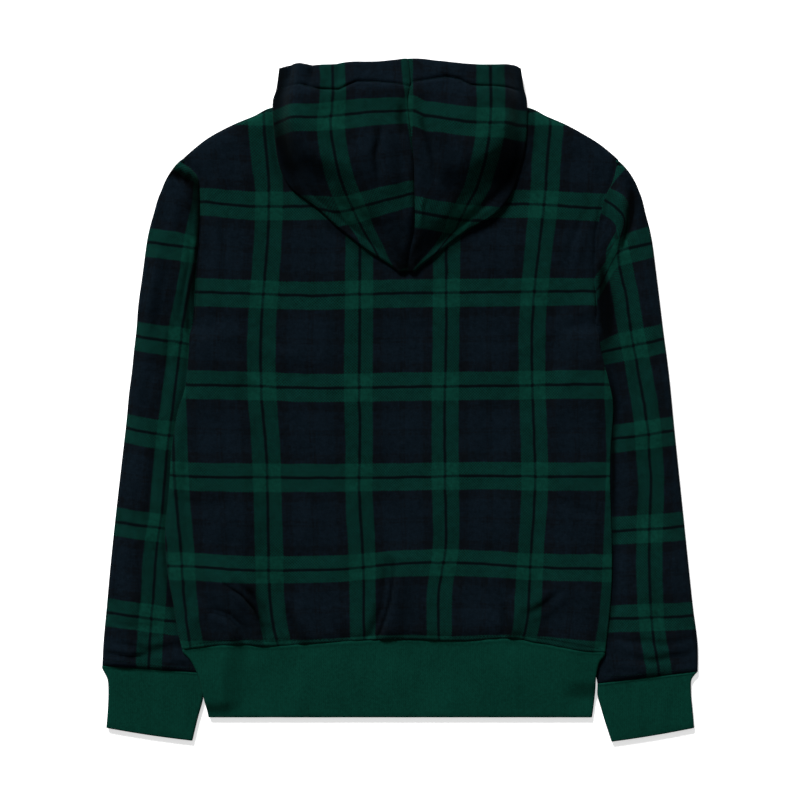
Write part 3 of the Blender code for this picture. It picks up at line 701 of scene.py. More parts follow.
LEFT_CUFF_CREASES = creases_of((
    (0.8, 5, 0.5, -274, -276, -272, -300, -270, -322),
    (0.8, 6, -0.5, -240, -280, -236, -304, -234, -330),
    (0.7, 4, 0.4, -218, -290, -214, -308, -214, -324),
))

RIGHT_CUFF_CREASES = creases_of((
    (0.8, 5, 0.5, 236, -286, 236, -306, 238, -328),
    (0.8, 6, -0.5, 268, -282, 266, -304, 264, -326),
))

WAISTBAND_CREASES = creases_of((
    (1, 5, 0.6, -179, -256, -178, -280, -177, -308),
    (0.9, 5, -0.6, 117, -250, 116, -276, 118, -304),
    (0.7, 7, 0.4, -100, -256, -98, -280, -100, -304),
    (0.7, 7, -0.4, -4, -252, -6, -276, -4, -302),
    (0.6, 6, 0.4, 50, -252, 52, -280, 50, -304),
    (0.7, 6, -0.4, 166, -256, 164, -280, 166, -304),
))

OPENING_LEFT = on_grid((
    # x, y of the opening edge
    (-123, 330.4), (-117, 330.2), (-110, 331.6), (-104, 332.6), (-92, 330.8), (-80, 329.4),
    (-62, 330.8), (-50, 332.8), (-20, 332.8), (-2, 334.8), (4, 335.8), (9, 335.8),
))

OPENING_RIGHT = on_grid((
    # x, y of the opening edge
    (7, 335.8), (22, 335.8), (34, 334), (52, 332), (76, 330.2), (94, 330.4), (112, 332.2),
    (118, 331), (121, 329),
))

WRIST_LEFT = on_grid((
    # x, y
    (-294, -261), (-277, -260), (-252, -263), (-230, -265.5), (-206, -267.5),
))

WRIST_RIGHT = on_grid((
    # x, y
    (203, -275), (230, -274), (260, -271), (291, -267.5),
))

# Painted shade of the folds, which stands in for their shadow, in the same columns, with the share
# of light lost as rise
BODY_PAINTED_SHADE = creases_of((
    (0.45, 8, 0, -164, -184, -149, -196, -139, -211, -132, -234),
    (0.55, 2.2, 0, -174, -184, -157, -194, -146, -207, -139, -222, -134, -238),
    (0.3, 3, 0, -188, -212, -172, -217, -163, -226, -157, -240),
    (0.6, 2.2, 0, -6, -162, -8, -180, -10, -200, -16, -220, -23, -240),
    (0.3, 10, 0, 2, -172, 0, -195, -2, -222),
    (0.3, 8, 0, -14, -200, -22, -220, -28, -238),
    (0.45, 5, 0, 150, -197, 138, -206, 124, -216),
    (0.25, 8, 0, 160, -198, 144, -208, 130, -220),
    (0.5, 7, 0, -110, -212, -102, -228, -96, -243),
    (0.45, 6, 0, 106, -212, 109, -228, 112, -242),
    (0.25, 6, 0, 30, -224, 32, -240),
    (0.35, 4, 0, -100, 199, -84, 187, -66, 170, -48, 156, -28, 140, 0, 123),
    (0.4, 5, 0, 120, 210, 97, 180, 70, 165, 42, 143, 12, 123),
    (0.4, 5, 0, -130, 290, -129, 262, -124, 232, -116, 212),
    (0.35, 5, 0, 131, 290, 131, 255, 125, 228),
    (0.22, 6, 0, -204, 188, -200, 150, -202, 100),
    (0.2, 7, 0, -190, -200, -200, -220, -206, -242),
    (0.22, 6, 0, -60, -220, -54, -240),
    (0.2, 9, 0, 190, -210, 196, -230, 200, -246),
))

LEFT_SLEEVE_PAINTED_SHADE = creases_of((
    (2.4, 4.4, 0, -242, 232, -232, 229, -222, 226, -212, 222, -203, 216, -195, 207),
    (0.8, 4, 0, -208, 218, -206, 200, -209, 178),
    (0.9, 2.6, 0, -202, 212, -201, 175, -203, 142),
    (0.8, 3.4, 0, -204, 150, -207, 125, -211, 100, -213, 70),
    (0.55, 3.4, 0, -211, 78, -212, 55, -216, 12, -224, -15, -230, -55, -232, -87, -236, -135, -233,
     -175, -228, -202, -223, -230, -219, -250),
    (0.3, 3, 0, -292, -252, -266, -256, -240, -251),
    (0.3, 2.6, 0, -274, -243, -250, -248, -214, -245),
    (0.3, 5, 0, -230, -258, -204, -264),
))

RIGHT_SLEEVE_PAINTED_SHADE = creases_of((
    (0.4, 8, 0, 211, 22, 213, 4, 212, -18),
    (0.45, 3.6, 0, 210, 0, 211, -40, 213, -70, 213, -105),
    (1, 5, 0, 200, 136, 202, 116, 204, 96),
    (1.5, 9, 0, 206, 110, 206, 88, 207, 62),
    (0.4, 7, 0, 204, 60, 210, 44, 214, 30),
    (1.3, 4.4, 0, 231, 210, 231, 193, 229, 178, 225, 164),
    (0.35, 10, 0, 240, 220, 241, 195, 240, 172),
    (0.4, 2.4, 0, 215, 220, 206, 196, 200, 175, 197, 150),
    (0.55, 3.4, 0, 199, 64, 202, 48, 210, 18, 215, -8, 212, -52, 211.6, -87, 213, -130, 213.5,
     -170, 212, -200, 209, -230, 206, -251),
    (0.3, 2.6, 0, 228, -255, 252, -260, 290, -253),
    (0.25, 2.6, 0, 240, -240, 264, -243, 290, -238),
))

HOOD_PAINTED_SHADE = creases_of((
    (0.9, 13, 0, -119, 270, -116, 254, -112, 234, -101, 208),
    (0.5, 8, 0, -102, 208, -84, 192, -62, 174),
    (0.45, 9, 0, -121, 304, -124, 282, -121, 258),
    (0.8, 8, 0, -117, 342, -117, 322, -120, 296),
    (0.9, 13, 0, 124, 251, 116, 232, 103, 200),
    (0.4, 9, 0, 104, 250, 98, 228, 94, 208),
    (0.5, 8, 0, 90, 188, 72, 174, 50, 160),
    (0.45, 6, 0, 119, 338, 122, 310, 124, 288),
    (0.6, 8, 0, -6, 160, 1, 144, 7, 132),
    (0.6, 8, 0, 26, 160, 17, 144, 11, 132),
    (1.2, 5, 0, 0, 132, 5, 129, 11, 128),
    (0.6, 4.5, 0, 3, 290, 0, 278, 2, 264),
    (0.45, 3.4, 0, -20, 262, -25, 240, -22, 212),
    (0.4, 3.4, 0, 21, 274, 29, 248, 34, 222),
    (0.3, 8, 0, -8, 260, -4, 230, 0, 200),
    (0.25, 10, 0, 40, 260, 46, 230, 48, 200),
    (0.35, 2.6, 0, -88, 338, -87, 326, -89, 314),
    (0.3, 2.4, 0, -64, 338, -62, 316),
    (0.3, 2.4, 0, 63, 338, 63, 314),
))

# Painted highlight along the ridge right of the hood's seam, given as a negative rise, then painted
# shade of the fold below it
RIGHT_HOOD_PAINTED_LIGHT_AND_SHADE = creases_of((
    (-0.45, 3.6, 0, 21, 196, 20, 184, 18, 170),
    (0.5, 3, 0, 21, 168, 17, 156, 13, 144),
))

LEFT_HOOD_PAINTED_SHADE = creases_of((
    (0.5, 2.2, 0, 8, 268, 12, 240, 14, 210, 13, 185, 11, 160),
))

CASING_TROUGH_LEFT = Crease(-3.2, 1.9, 0.0, CASING_LEFT)
CASING_TROUGH_RIGHT = Crease(-3.2, 1.9, 0.0, CASING_RIGHT)


def edge_x(edge: Rows, y: float) -> float:
    """Find how far in a sleeve reaches.

    Args:
        edge: Its inner edge, as rows of y, x that run down.
        y: Place up the layout.

    Returns:
        The x of its edge there.
    """
    for (y_high, x_high), (y_low, x_low) in zip(edge, edge[1:]):
        if y >= y_low:
            return mix(x_high, x_low, clamp((y_high - y) / (y_high - y_low)))
    return edge[-1][1]


def inner_edge(sleeve: Rows, cuff: Rows) -> list[tuple[float, float]]:
    """List the inner fold of a sleeve and its cuff as y, x, from the underarm down."""
    below_underarm = [row for row in sleeve if not row[4]][1:]
    return [(row[3], row[2]) for row in (*below_underarm, *cuff)]


INNER_EDGE_LEFT = inner_edge(SLEEVE_LEFT, CUFF_LEFT)
INNER_EDGE_RIGHT = inner_edge(SLEEVE_RIGHT, CUFF_RIGHT)
LIFT_START_Y = BODY_SIDES[UNDERARM_STATION][1]
LIFT_END_Y = spline(BODY_SIDES, UNDERARM_STATION + 1.5)[1]
LIFT_LEFT_END = (-344.0, 18.0)       # y where the left lift ends, and the length of its fall
LIFT_RIGHT_END = (-319.0, 25.0)


def lift(x: float, y: float) -> float:
    """Height that the body and waistband gain where they lie over a sleeve or a cuff.

    Args:
        x: Place across the layout.
        y: Place up the layout.

    Returns:
        Height in millimetres.
    """
    rise = smooth((LIFT_START_Y - y) / (LIFT_START_Y - LIFT_END_Y))
    left_end = 1.0 - smooth((LIFT_LEFT_END[0] - y) / LIFT_LEFT_END[1])
    right_end = 1.0 - smooth((LIFT_RIGHT_END[0] - y) / LIFT_RIGHT_END[1])
    left = smooth((edge_x(INNER_EDGE_LEFT, y) + LIFT_REACH + LIFT_RAMP - x) / LIFT_RAMP)
    right = smooth((x - edge_x(INNER_EDGE_RIGHT, y) + LIFT_REACH + LIFT_RAMP) / LIFT_RAMP)
    return SLEEVE_LIFT * rise * max(left * left_end, right * right_end)


def front_top(share: float) -> Vector:
    """Top edge of the front, with its lower neckline.

    Args:
        share: Share of the width.

    Returns:
        The point in the layout.
    """
    x, y = lookup(BACK_TOP, share)
    if FRONT_NECK_DROP[0][0] < share < FRONT_NECK_DROP[-1][0]:
        y -= lookup(FRONT_NECK_DROP, share)[0]
    return Vector((x, y))


def back_top(share: float) -> Vector:
    """Top edge of the back."""
    return Vector(lookup(BACK_TOP, share))


def hem_line(share: float) -> Vector:
    """Seam line between the body and the waistband."""
    return Vector(lookup(HEM, share))


def patch(top: Callable[[float], Vector], bottom: Callable[[float], Vector], sides: Rows,
          u: float, v: float) -> Vector:
    """Point of a sheet spread between its four edges.

    Args:
        top: Its top edge, by share of the width.
        bottom: Its lower edge.
        sides: Table of its two sides.
        u: Share of the width.
        v: Share of the height, from the top.

    Returns:
        The point in the layout.
    """
    row = spline(sides, v * (len(sides) - 1))
    left, right = Vector(row[0:2]), Vector(row[2:4])
    down = mix(top(u), bottom(u), v)
    corners = mix(mix(top(0.0), top(1.0), u), mix(bottom(0.0), bottom(1.0), u), v)
    return mix(left, right, u) + down - corners


class Side(Enum):
    """Sides of the hoodie in the layout, by their place in the tables of the body."""
    LEFT = 0
    RIGHT = 1

    @property
    def outward(self) -> int:
        """Sign of the turn that faces out on this side."""
        return 1 if self is Side.LEFT else -1


class Slot(Enum):
    """Finishes of the record's material slots."""
    PLAID = "plaid_fleece"
    KNIT = "plain_knit"


def object_of(name: str, mesh: bmesh.types.BMesh,
              finish: bpy.types.Material) -> bpy.types.Object:
    """Turn a finished mesh into a smooth object of the scene.

    Args:
        name: Name of the object.
        mesh: Its mesh, which is freed.
        finish: Its material.

    Returns:
        The object.
    """
    data = bpy.data.meshes.new(name)
    mesh.to_mesh(data)
    mesh.free()
    data.shade_smooth()
    data.materials.append(finish)
    made = bpy.data.objects.new(name, data)
    bpy.context.scene.collection.objects.link(made)
    LOG.info("%s: %d faces", name, len(data.polygons))
    return made


@dataclass(frozen=True)
class Grid:
    """One fine sheet of a piece.

    Attributes:
        columns: Number of columns of vertices.
        rows: Number of rows of vertices.
        place: Gives x, y, z in millimetres for a column and row.
    """
    columns: int
    rows: int
    place: Callable[[int, int], Place]


@dataclass(frozen=True)
class Seam:
    """Relief of a sewn seam: a narrow groove with the turned-in cloth swelling beside it.

    Attributes:
        depth: Depth of the groove, in millimetres.
        width: Half width of the groove.
        swell: Height of the swelling.
        swell_at: Distance of the swelling from the seam.
        swell_width: Half width of the swelling.
    """
    depth: float = 1.0
    width: float = 2.0
    swell: float = 0.6
    swell_at: float = 7.0
    swell_width: float = 4.0

    def height(self, distance: float) -> float:
        """Height at a distance from the seam."""
        return (self.swell * bell(distance - self.swell_at, self.swell_width)
                - self.depth * bell(distance, self.width))


@dataclass
class ClothPiece:
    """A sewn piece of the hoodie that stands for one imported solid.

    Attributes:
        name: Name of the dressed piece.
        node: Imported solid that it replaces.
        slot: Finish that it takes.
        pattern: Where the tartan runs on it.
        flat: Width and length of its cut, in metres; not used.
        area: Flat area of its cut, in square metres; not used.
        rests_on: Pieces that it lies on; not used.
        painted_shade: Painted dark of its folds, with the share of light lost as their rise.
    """
    name: str
    node: str
    slot: Slot
    pattern: PlaidMap
    flat: tuple[float, float]
    area: float
    rests_on: tuple[str, ...] = ()
    painted_shade: tuple[Crease, ...] = ()
    body: bpy.types.Object | None = field(default=None, init=False)

    def grids(self) -> list[Grid]:
        """List the fine sheets that make up the piece."""
        raise NotImplementedError

    def build(self, finish: bpy.types.Material) -> bpy.types.Object:
        """Make the cloth wall, and tie it to the frame.

        Args:
            finish: Material of the piece.

        Returns:
            The dressed object.
        """
        mesh = bmesh.new()
        cloth = mesh.loops.layers.uv.new("Cloth")
        # Painted shade of the folds goes into a vertex attribute, which darkens the colour where the
        # folds would lie in shadow
        painted_shade = mesh.verts.layers.float.new("PaintedShade")
        for grid in self.grids():
            made = bmesh.ops.create_grid(mesh, x_segments=grid.columns - 1,
                                         y_segments=grid.rows - 1, size=1.0)
            for index, vertex in enumerate(made["verts"]):
                x, y, z = grid.place(index % grid.columns, index // grid.columns)
                vertex.co = Vector((x, y, z)) * MM
                vertex[painted_shade] = min(creased(self.painted_shade, x, y), DARKEST)
                across, down = self.pattern.at(x, y)
                for loop in vertex.link_loops:
                    loop[cloth].uv = (across, down)
        bmesh.ops.remove_doubles(mesh, verts=mesh.verts, dist=MERGE * MM)
        bmesh.ops.recalc_face_normals(mesh, faces=mesh.faces)
        piece = object_of(self.name, mesh, finish)
        wall = piece.modifiers.new("Cloth wall", "SOLIDIFY")
        wall.thickness = WALL * MM
        wall.offset = 0.0
        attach(piece, "root")
        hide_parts(self.node)
        self.body = piece
        return piece

    def declare(self, sewn: Sequence[bpy.types.Object]) -> None:
        """Take no step: the piece's cut is not stated here.

        Args:
            sewn: Separate pieces on it, such as its stitches; not used.
        """


def finished(relief: float, down: float, length: float, seam: Seam) -> float:
    """Settle the relief of a knit band at its seam and at the dip beside its free edge.

    Args:
        relief: Height of its folds and unevenness.
        down: Distance from the seam.
        length: Distance from the seam to the free edge.
        seam: Seam at the start of the band.

    Returns:
        Height in millimetres.
    """
    relief *= smooth(down / 6.0) * smooth((length - down) / 6.0)
    return relief + (seam.height(down) - 0.8 * bell(length - down, 3.0))


def even_shares(count: int, margin: float) -> list[float]:
    """Shares from one side of a sheet to the other, which keep a margin at both sides."""
    return [mix(margin, 1.0 - margin, index / (count - 1)) for index in range(count)]


def crowded_shares(count: int, margin: float,
                   spots: Sequence[tuple[float, float, float]]) -> list[float]:
    """Shares across a sheet that crowd together near its creases.

    Args:
        count: Number of shares.
        margin: Distance kept at both sides.
        spots: Place, reach and extra density of each crowded part.

    Returns:
        The shares, from one side to the other.
    """
    steps = 600
    sums = [0.0]
    for index in range(steps):
        place = mix(margin, 1.0 - margin, (index + 0.5) / steps)
        extra = sum(extra * bell(place - spot, reach) for spot, reach, extra in spots)
        sums.append(sums[-1] + (1.0 + extra))
    return [mix(margin, 1.0 - margin, min((index + part) / steps, 1.0))
            for index, part in even_places(sums, count)]


def even_places(sums: Sequence[float], count: int) -> list[tuple[int, float]]:
    """Find the places that split a rising measure into equal parts.

    Args:
        sums: Measure at each whole place, from zero up.
        count: Number of places.

    Returns:
        For each place, the whole place before it and the part of the way to the next.
    """
    places, index, last = [], 0, len(sums) - 2
    for number in range(count):
        wanted = sums[-1] * number / (count - 1)
        while index < last and sums[index + 1] < wanted:
            index += 1
        places.append((index, (wanted - sums[index]) / (sums[index + 1] - sums[index])))
    return places


def turned(angle: float | None) -> tuple[float, float]:
    """Sine and cosine of the angle of a row on a round edge, where None is the flat above it."""
    turn = math.radians(90.0 if angle is None else angle)
    return math.sin(turn), math.cos(turn)


def round_edge(angle: float, rolled: float) -> tuple[float, float]:
    """Shape one row of the round edge of a body panel.

    Args:
        angle: Angle of the row on its edge, or less than 0 for the foot.
        rolled: How round the edge is, from 0 where it lies flat to 1.

    Returns:
        Inset from the outline, and fall towards the seam.
    """
    turn = math.radians(max(angle, 0.0))
    inset = CLOTH / 2 + FOLD_RADIUS * (1.0 - math.cos(turn))
    flat = SEAM_GAP / 2 if angle < 0.0 else 0.35 + 2.2 * (angle / 90.0) ** 1.5
    fall = FOLD_RADIUS * (1.0 - math.sin(turn)) + (SEAM_STRAIGHT if angle < 0.0 else 0.0)
    return mix(flat, inset, rolled), fall * rolled


@dataclass
class BodyPanel(ClothPiece):
    """The back or the front of the body, from the shoulders to the hem seam.

    Attributes:
        is_back: True for the back, which carries the folds.
        across: Number of columns of vertices between the side edges.
        down: Number of rows of vertices between the top edge and the hem.
        creases: Its folds.
        crowded_columns: Where its columns crowd: place, reach and extra density.
        crowded_rows: The same for its rows.
        armhole: Seams at its sides.
        hem: Seam at its lower edge.
        width: Rough width of the panel, in millimetres.
        length: Rough length of the panel, in millimetres.
        fullness: Rise of its middle above its seams, in millimetres.
    """
    is_back: bool = True
    across: int = 190
    down: int = 205
    creases: tuple[Crease, ...] = BODY_CREASES
    crowded_columns: Rows = ((0.15, 0.06, 1.1), (0.46, 0.035, 1.1), (0.83, 0.045, 0.8))
    crowded_rows: Rows = ((0.94, 0.09, 1.7),)
    armhole: Seam = Seam()
    hem: Seam = Seam(depth=0.7, width=2.2, swell=0.9, swell_at=4.0, swell_width=3.2)
    width: float = 480.0
    length: float = 600.0
    fullness: float = 2.6

    def _at(self, u: float, v: float) -> Vector:
        """Point of the panel by its shares across and down."""
        return patch(back_top if self.is_back else front_top, hem_line, BODY_SIDES, u, v)

    def _relief(self, x: float, y: float, u: float, v: float) -> float:
        """Sum the folds, seams and unevenness of the back.

        Args:
            x: Place across the layout.
            y: Place up the layout.
            u: Share of the width.
            v: Share of the height, from the top.

        Returns:
            Height in millimetres above the flat sheet.
        """
        side = min(u, 1.0 - u) * self.width
        top, bottom = v * self.length, (1.0 - v) * self.length
        free = smooth(side / 9.0) * smooth(top / 9.0)
        station = v * (len(BODY_SIDES) - 1)
        sewn = 1.0 - smooth((station - UNDERARM_STATION + 0.6) / 1.0)
        height = creased(self.creases, x, y) * smooth(bottom / 5.0)
        for fold in BACK_FOLDS:
            height += fold.height(x, y)
        height += rumple(x, y, 1.7)
        height += self.fullness * smooth(side / 26.0) * smooth(bottom / 20.0) * smooth(top / 26.0)
        height = kept_clear(height) * free
        height += sewn * self.armhole.height(side) + self.hem.height(bottom)
        pucker = uneven(x, 0.0, 9.0, 3.3) * bell(bottom - 9.0, 8.0)
        return height + 0.5 * pucker * free

    def grids(self) -> list[Grid]:
        """Make one sheet, with round edges at the shoulders and side seams.

        Returns:
            The sheet, in a list.
        """
        edge = [(0.0, angle) for angle in SEAM_STEPS]
        shares = crowded_shares(self.across, 0.011, self.crowded_columns)
        columns = edge + [(share, None) for share in shares]
        columns += [(1.0, angle) for angle in reversed(SEAM_STEPS)]
        stations = crowded_shares(self.down, 0.009, self.crowded_rows)[:-1] + [0.9945, 1.0]
        rows = edge + [(share, None) for share in stations]
        last = len(BODY_SIDES) - 1
        neck = BACK_TOP[NECK_ROW][0]

        def place(column: int, row: int) -> Place:
            """Place a vertex of the panel.

            Args:
                column: Its column, from the left.
                row: Its row, from the top.

            Returns:
                Its x, y, z in millimetres.
            """
            u, side_angle = columns[column]
            v, top_angle = rows[row]
            rolled_side = clamp((v * last - UNDERARM_STATION) / 2.5)
            rolled_top = clamp((abs(u - 0.5) - 0.5 + neck) / 0.22 + 0.42)
            point = self._at(u, v)
            start, fall = point.copy(), 0.0
            if side_angle is not None:
                step, fall = round_edge(side_angle, rolled_side)
                point += (self._at(mix(u, 0.5, INWARD), v) - start).normalized() * step
            if top_angle is not None:
                step, fall_top = round_edge(top_angle, rolled_top)
                point += (self._at(u, mix(v, 0.5, INWARD)) - start).normalized() * step
                fall = max(fall, fall_top)
            if v == 1.0:
                point.y += SEAM_GAP / 2
            base = CLOTH / 2 + lift(point.x, point.y)
            if self.is_back:
                height = base + LAYER - fall + self._relief(point.x, point.y, u, v)
                return point.x, point.y, height
            return point.x, point.y, base + fall

        return [Grid(len(columns), len(rows), place)]


def ring_columns(shares: Sequence[float]) -> list[tuple[float, float | None, int]]:
    """Go once round a flat tube.

    Args:
        shares: Shares across it between its round edges.

    Returns:
        For each column the share across, the angle on a round edge or None, and the layer: 1
        for the upper one and -1 for the lower one.
    """
    top = [(0.0, angle, 1) for angle in FOLD_STEPS] + [(share, None, 1) for share in shares]
    top += [(1.0, angle, 1) for angle in reversed(FOLD_STEPS)]
    return top + [(*column[:2], -1) for column in reversed(top)][1:]


def ring_point(section: Callable[[float], Vector], column: tuple[float, float | None, int],
               middle: float, half: float, rim: float = CLOTH / 2
               ) -> tuple[Vector, float, float]:
    """Point of a flat tube's section.

    Args:
        section: Path across the tube, by share.
        column: Share, angle and layer of the point.
        middle: Mid height of the tube there.
        half: Half of its height there.
        rim: How far the middle of the wall stays inside the outline.

    Returns:
        Its place in the layout, its height, and how far it faces up, from -1 to 1.
    """
    share, angle, layer = column
    point = section(share)
    sine, cosine = turned(angle)
    if angle is not None:
        inset = rim + TUBE_RADIUS * (1.0 - cosine)
        point = point + (section(mix(share, 0.5, INWARD)) - point).normalized() * inset
    return point, middle + layer * sine * half, layer * sine


@dataclass
class Sleeve(ClothPiece):
    """A sleeve: a flat tube from the armhole seam to the cuff seam.

    Attributes:
        table: Its sections, from the armhole down.
        side: Side of the hoodie that it is on.
        across: Number of columns between its round edges, on each layer.
        rings: Number of rows.
        tuck: How far its inner edge moves out again, as a share of the space in the table.
        fullness: Rise of its middle above its edges, in millimetres.
        creases: Its folds.
        armhole: Seam at its first row.
        end: Seam at its last row.
        pace: Rough length of one station, in millimetres.
        bulge: How far its outline swells below the shoulder tip, in millimetres.
        crowned: Share of its width, from the outer edge, that its crown takes.
        slip: How far its round edges slip under the body at the armhole, in millimetres.
    """
    table: Rows = ()
    side: Side = Side.LEFT
    across: int = 66
    rings: int = 170
    tuck: float = 0.2
    fullness: float = 3.2
    creases: tuple[Crease, ...] = ()
    armhole: Seam = Seam(swell=0.3)
    end: Seam = Seam(depth=0.7, width=2.2, swell=0.8, swell_at=5.0, swell_width=3.5)
    pace: float = 30.0
    bulge: float = 1.9
    crowned: float = 0.42
    slip: float = 2.4

    def _armhole_points(self) -> list[Vector]:
        """Follow the armhole from the shoulder to the underarm.

        Returns:
            Evenly spaced points along it.
        """
        steps = 240
        rough = [Vector(spline(BODY_SIDES, UNDERARM_STATION * i / steps)[2 * self.side.value:][:2])
                 for i in range(steps + 1)]
        lengths = [0.0]
        for start, end in zip(rough, rough[1:]):
            lengths.append(lengths[-1] + (end - start).length)
        return [mix(rough[index], rough[index + 1], clamp(part))
                for index, part in even_places(lengths, steps + 1)]

    def grids(self) -> list[Grid]:
        """Make one tube, whose first ring follows the armhole.

        Returns:
            The tube, in a list.
        """
        seam_points = self._armhole_points()
        rim_share = 0.02
        columns = ring_columns(even_shares(self.across, rim_share))
        last = len(self.table) - 1
        stations = [last * (i / (self.rings - 1)) for i in range(self.rings)]

        def armhole(share: float) -> Vector:
            """Find a point of the armhole.

            Args:
                share: Share of the way from the shoulder to the underarm.

            Returns:
                The point in the layout.
            """
            place = clamp(share) * (len(seam_points) - 1)
            index = min(int(place), len(seam_points) - 2)
            return mix(seam_points[index], seam_points[index + 1], place - index)

        def place(column: int, row: int) -> Place:
            """Place a vertex of the sleeve.

            Args:
                column: Its column, round the tube.
                row: Its row, from the top.

            Returns:
                Its x, y, z in millimetres.
            """
            station = stations[row]
            outer_x, outer_y, inner_x, inner_y, space = spline(self.table, station)
            outer, inner = Vector((outer_x, outer_y)), Vector((inner_x, inner_y))
            inner += (outer - inner).normalized() * max(space, 0.0) * self.tuck
            if station < 1.0:
                round_out = self.bulge * math.sin(math.pi * station)
                outer += Vector((-self.side.outward * round_out, round_out))
            curve = (1.0 - min(station / 5.0, 1.0)) ** 2
            chord_start, chord_end = armhole(0.0), armhole(1.0)

            def section(share: float) -> Vector:
                """Path across the tube at this row.

                Args:
                    share: Share of the way across.

                Returns:
                    The point in the layout.
                """
                bend = armhole(share) - mix(chord_start, chord_end, share)
                return mix(outer, inner, share) + bend * curve

            share, angle, layer = columns[column]
            if angle is None:
                edge = (CLOTH / 2 + TUBE_RADIUS) / (inner - outer).length
                margin = mix(rim_share, edge, min(station, 1.0))
                share = mix(margin, 1.0 - margin, (share - rim_share) / (1.0 - 2.0 * rim_share))
            crown = SLEEVE_CROWN * math.sin(math.pi * min(share / self.crowned, 1.0)) ** 2
            ends = smooth((station - 1.0) / 3.0) * smooth((last - station) / 2.0)
            half = LAYER / 2 + crown * ends / 2
            pinched = share > 0.5 and station < UNDERARM_STATION + 1.0
            rim = 0.1 if pinched else CLOTH / 2
            point, z, up = ring_point(section, (share, angle, layer), CLOTH / 2 + half, half, rim)
            if station < 1.0:
                along = armhole(share + 0.02) - armhole(share - 0.02)
                outward = Vector((along.y, -along.x)).normalized() * self.side.outward
                point += outward * (0.0 if angle is None else -self.slip) * (1.0 - station)
            if up > 0.0:
                near_seam = (point - armhole(share)).length
                near_end = (last - station) * self.pace
                relief = creased(self.creases, point.x, point.y)
                relief += self.fullness * math.sin(math.pi * clamp(share)) ** 0.7
                relief = kept_clear(relief + rumple(point.x, point.y, 2.9))
                relief *= smooth(near_seam / 8.0) * smooth(near_end / 8.0)
                if station < 5.0:
                    relief += self.armhole.height(near_seam)
                relief += self.end.height(near_end)
                z += relief * up ** 2
            return point.x, point.y, z

        return [Grid(len(columns), self.rings, place)]


@dataclass
class Cuff(ClothPiece):
    """A cuff: a flat tube of plain knit from the sleeve to its open end.

    Attributes:
        table: Its sections, from the sleeve down.
        across: Number of columns between its round edges, on each layer.
        rings: Number of rows.
        creases: Its folds.
        seam: Seam at its first row.
    """
    table: Rows = ()
    across: int = 54
    rings: int = 44
    creases: tuple[Crease, ...] = ()
    seam: Seam = Seam(depth=0.7, width=2.0, swell=0.5, swell_at=6.0, swell_width=4.0)

    def grids(self) -> list[Grid]:
        """Make one tube between the two edges of the cuff.

        Returns:
            The tube, in a list.
        """
        columns = ring_columns(even_shares(self.across, 0.045))
        last = len(self.table) - 1
        length = abs(self.table[-1][1] - self.table[0][1])

        def place(column: int, row: int) -> Place:
            """Place a vertex of the cuff.

            Args:
                column: Its column, round the tube.
                row: Its row, from the top.

            Returns:
                Its x, y, z in millimetres.
            """
            station = last * row / (self.rings - 1)
            outer_x, outer_y, inner_x, inner_y = spline(self.table, station)
            outer, inner = Vector((outer_x, outer_y)), Vector((inner_x, inner_y))

            def section(share: float) -> Vector:
                """Path across the tube at this row.

                Args:
                    share: Share of the way across.

                Returns:
                    The point in the layout.
                """
                bow = 0.9 * math.sin(math.pi * share) * smooth((station - 3.0) / 2.0)
                return mix(outer, inner, share) - Vector((0.0, bow))

            half = LAYER / 2
            point, z, up = ring_point(section, columns[column], CLOTH / 2 + half, half)
            if station < 1.0:
                point.y -= SEAM_GAP * (1.0 - station)
            if up > 0.0:
                down = length * row / (self.rings - 1)
                relief = 0.45 * uneven(point.x, point.y * 0.4, 16.0, 4.1)
                relief += creased(self.creases, point.x, point.y)
                z += finished(relief, down, length, self.seam) * up ** 2
            return point.x, point.y, z

        return [Grid(len(columns), self.rings, place)]


@dataclass
class Waistband(ClothPiece):
    """The waistband: a flat tube of plain knit from the hem seam to its lower edge.

    Attributes:
        across: Number of columns between its round edges, on each layer.
        rings: Number of rows.
        creases: Its folds.
        seam: Seam at its first row.
        depth: From its seam to its lower edge, in millimetres.
    """
    across: int = 176
    rings: int = 44
    creases: tuple[Crease, ...] = ()
    seam: Seam = Seam(depth=0.7, width=2.2, swell=0.5, swell_at=7.0, swell_width=4.5)
    depth: float = 80.0

    def grids(self) -> list[Grid]:
        """Make one tube between the hem seam and the lower edge.

        Returns:
            The tube, in a list.
        """
        columns = ring_columns(even_shares(self.across, 0.011))
        left, right = Vector(WAISTBAND_SIDES[-1][0:2]), Vector(WAISTBAND_SIDES[-1][2:4])

        def lower_edge(share: float) -> Vector:
            """Point of the lower edge by its share across."""
            return mix(left, right, share)

        def place(column: int, row: int) -> Place:
            """Place a vertex of the waistband.

            Args:
                column: Its column, round the tube.
                row: Its row, from the top.

            Returns:
                Its x, y, z in millimetres.
            """
            v = row / (self.rings - 1)

            def section(share: float) -> Vector:
                """Point across the band at this row by its share."""
                return patch(hem_line, lower_edge, WAISTBAND_SIDES, share, v)

            here = section(columns[column][0])
            middle = CLOTH / 2 + lift(here.x, here.y) + LAYER / 2
            point, z, up = ring_point(section, columns[column], middle, LAYER / 2)
            if row == 0:
                point.y -= SEAM_GAP / 2
            if up > 0.0:
                down = self.depth * v
                relief = creased(self.creases, point.x, point.y)
                relief += 0.5 * uneven(point.x, point.y * 0.35, 26.0, 6.3)
                relief += 0.22 * uneven(point.x, point.y * 0.3, 8.0, 2.2)
                z += finished(relief, down, self.depth, self.seam) * up ** 2
            return point.x, point.y, z

        return [Grid(len(columns), self.rings, place)]


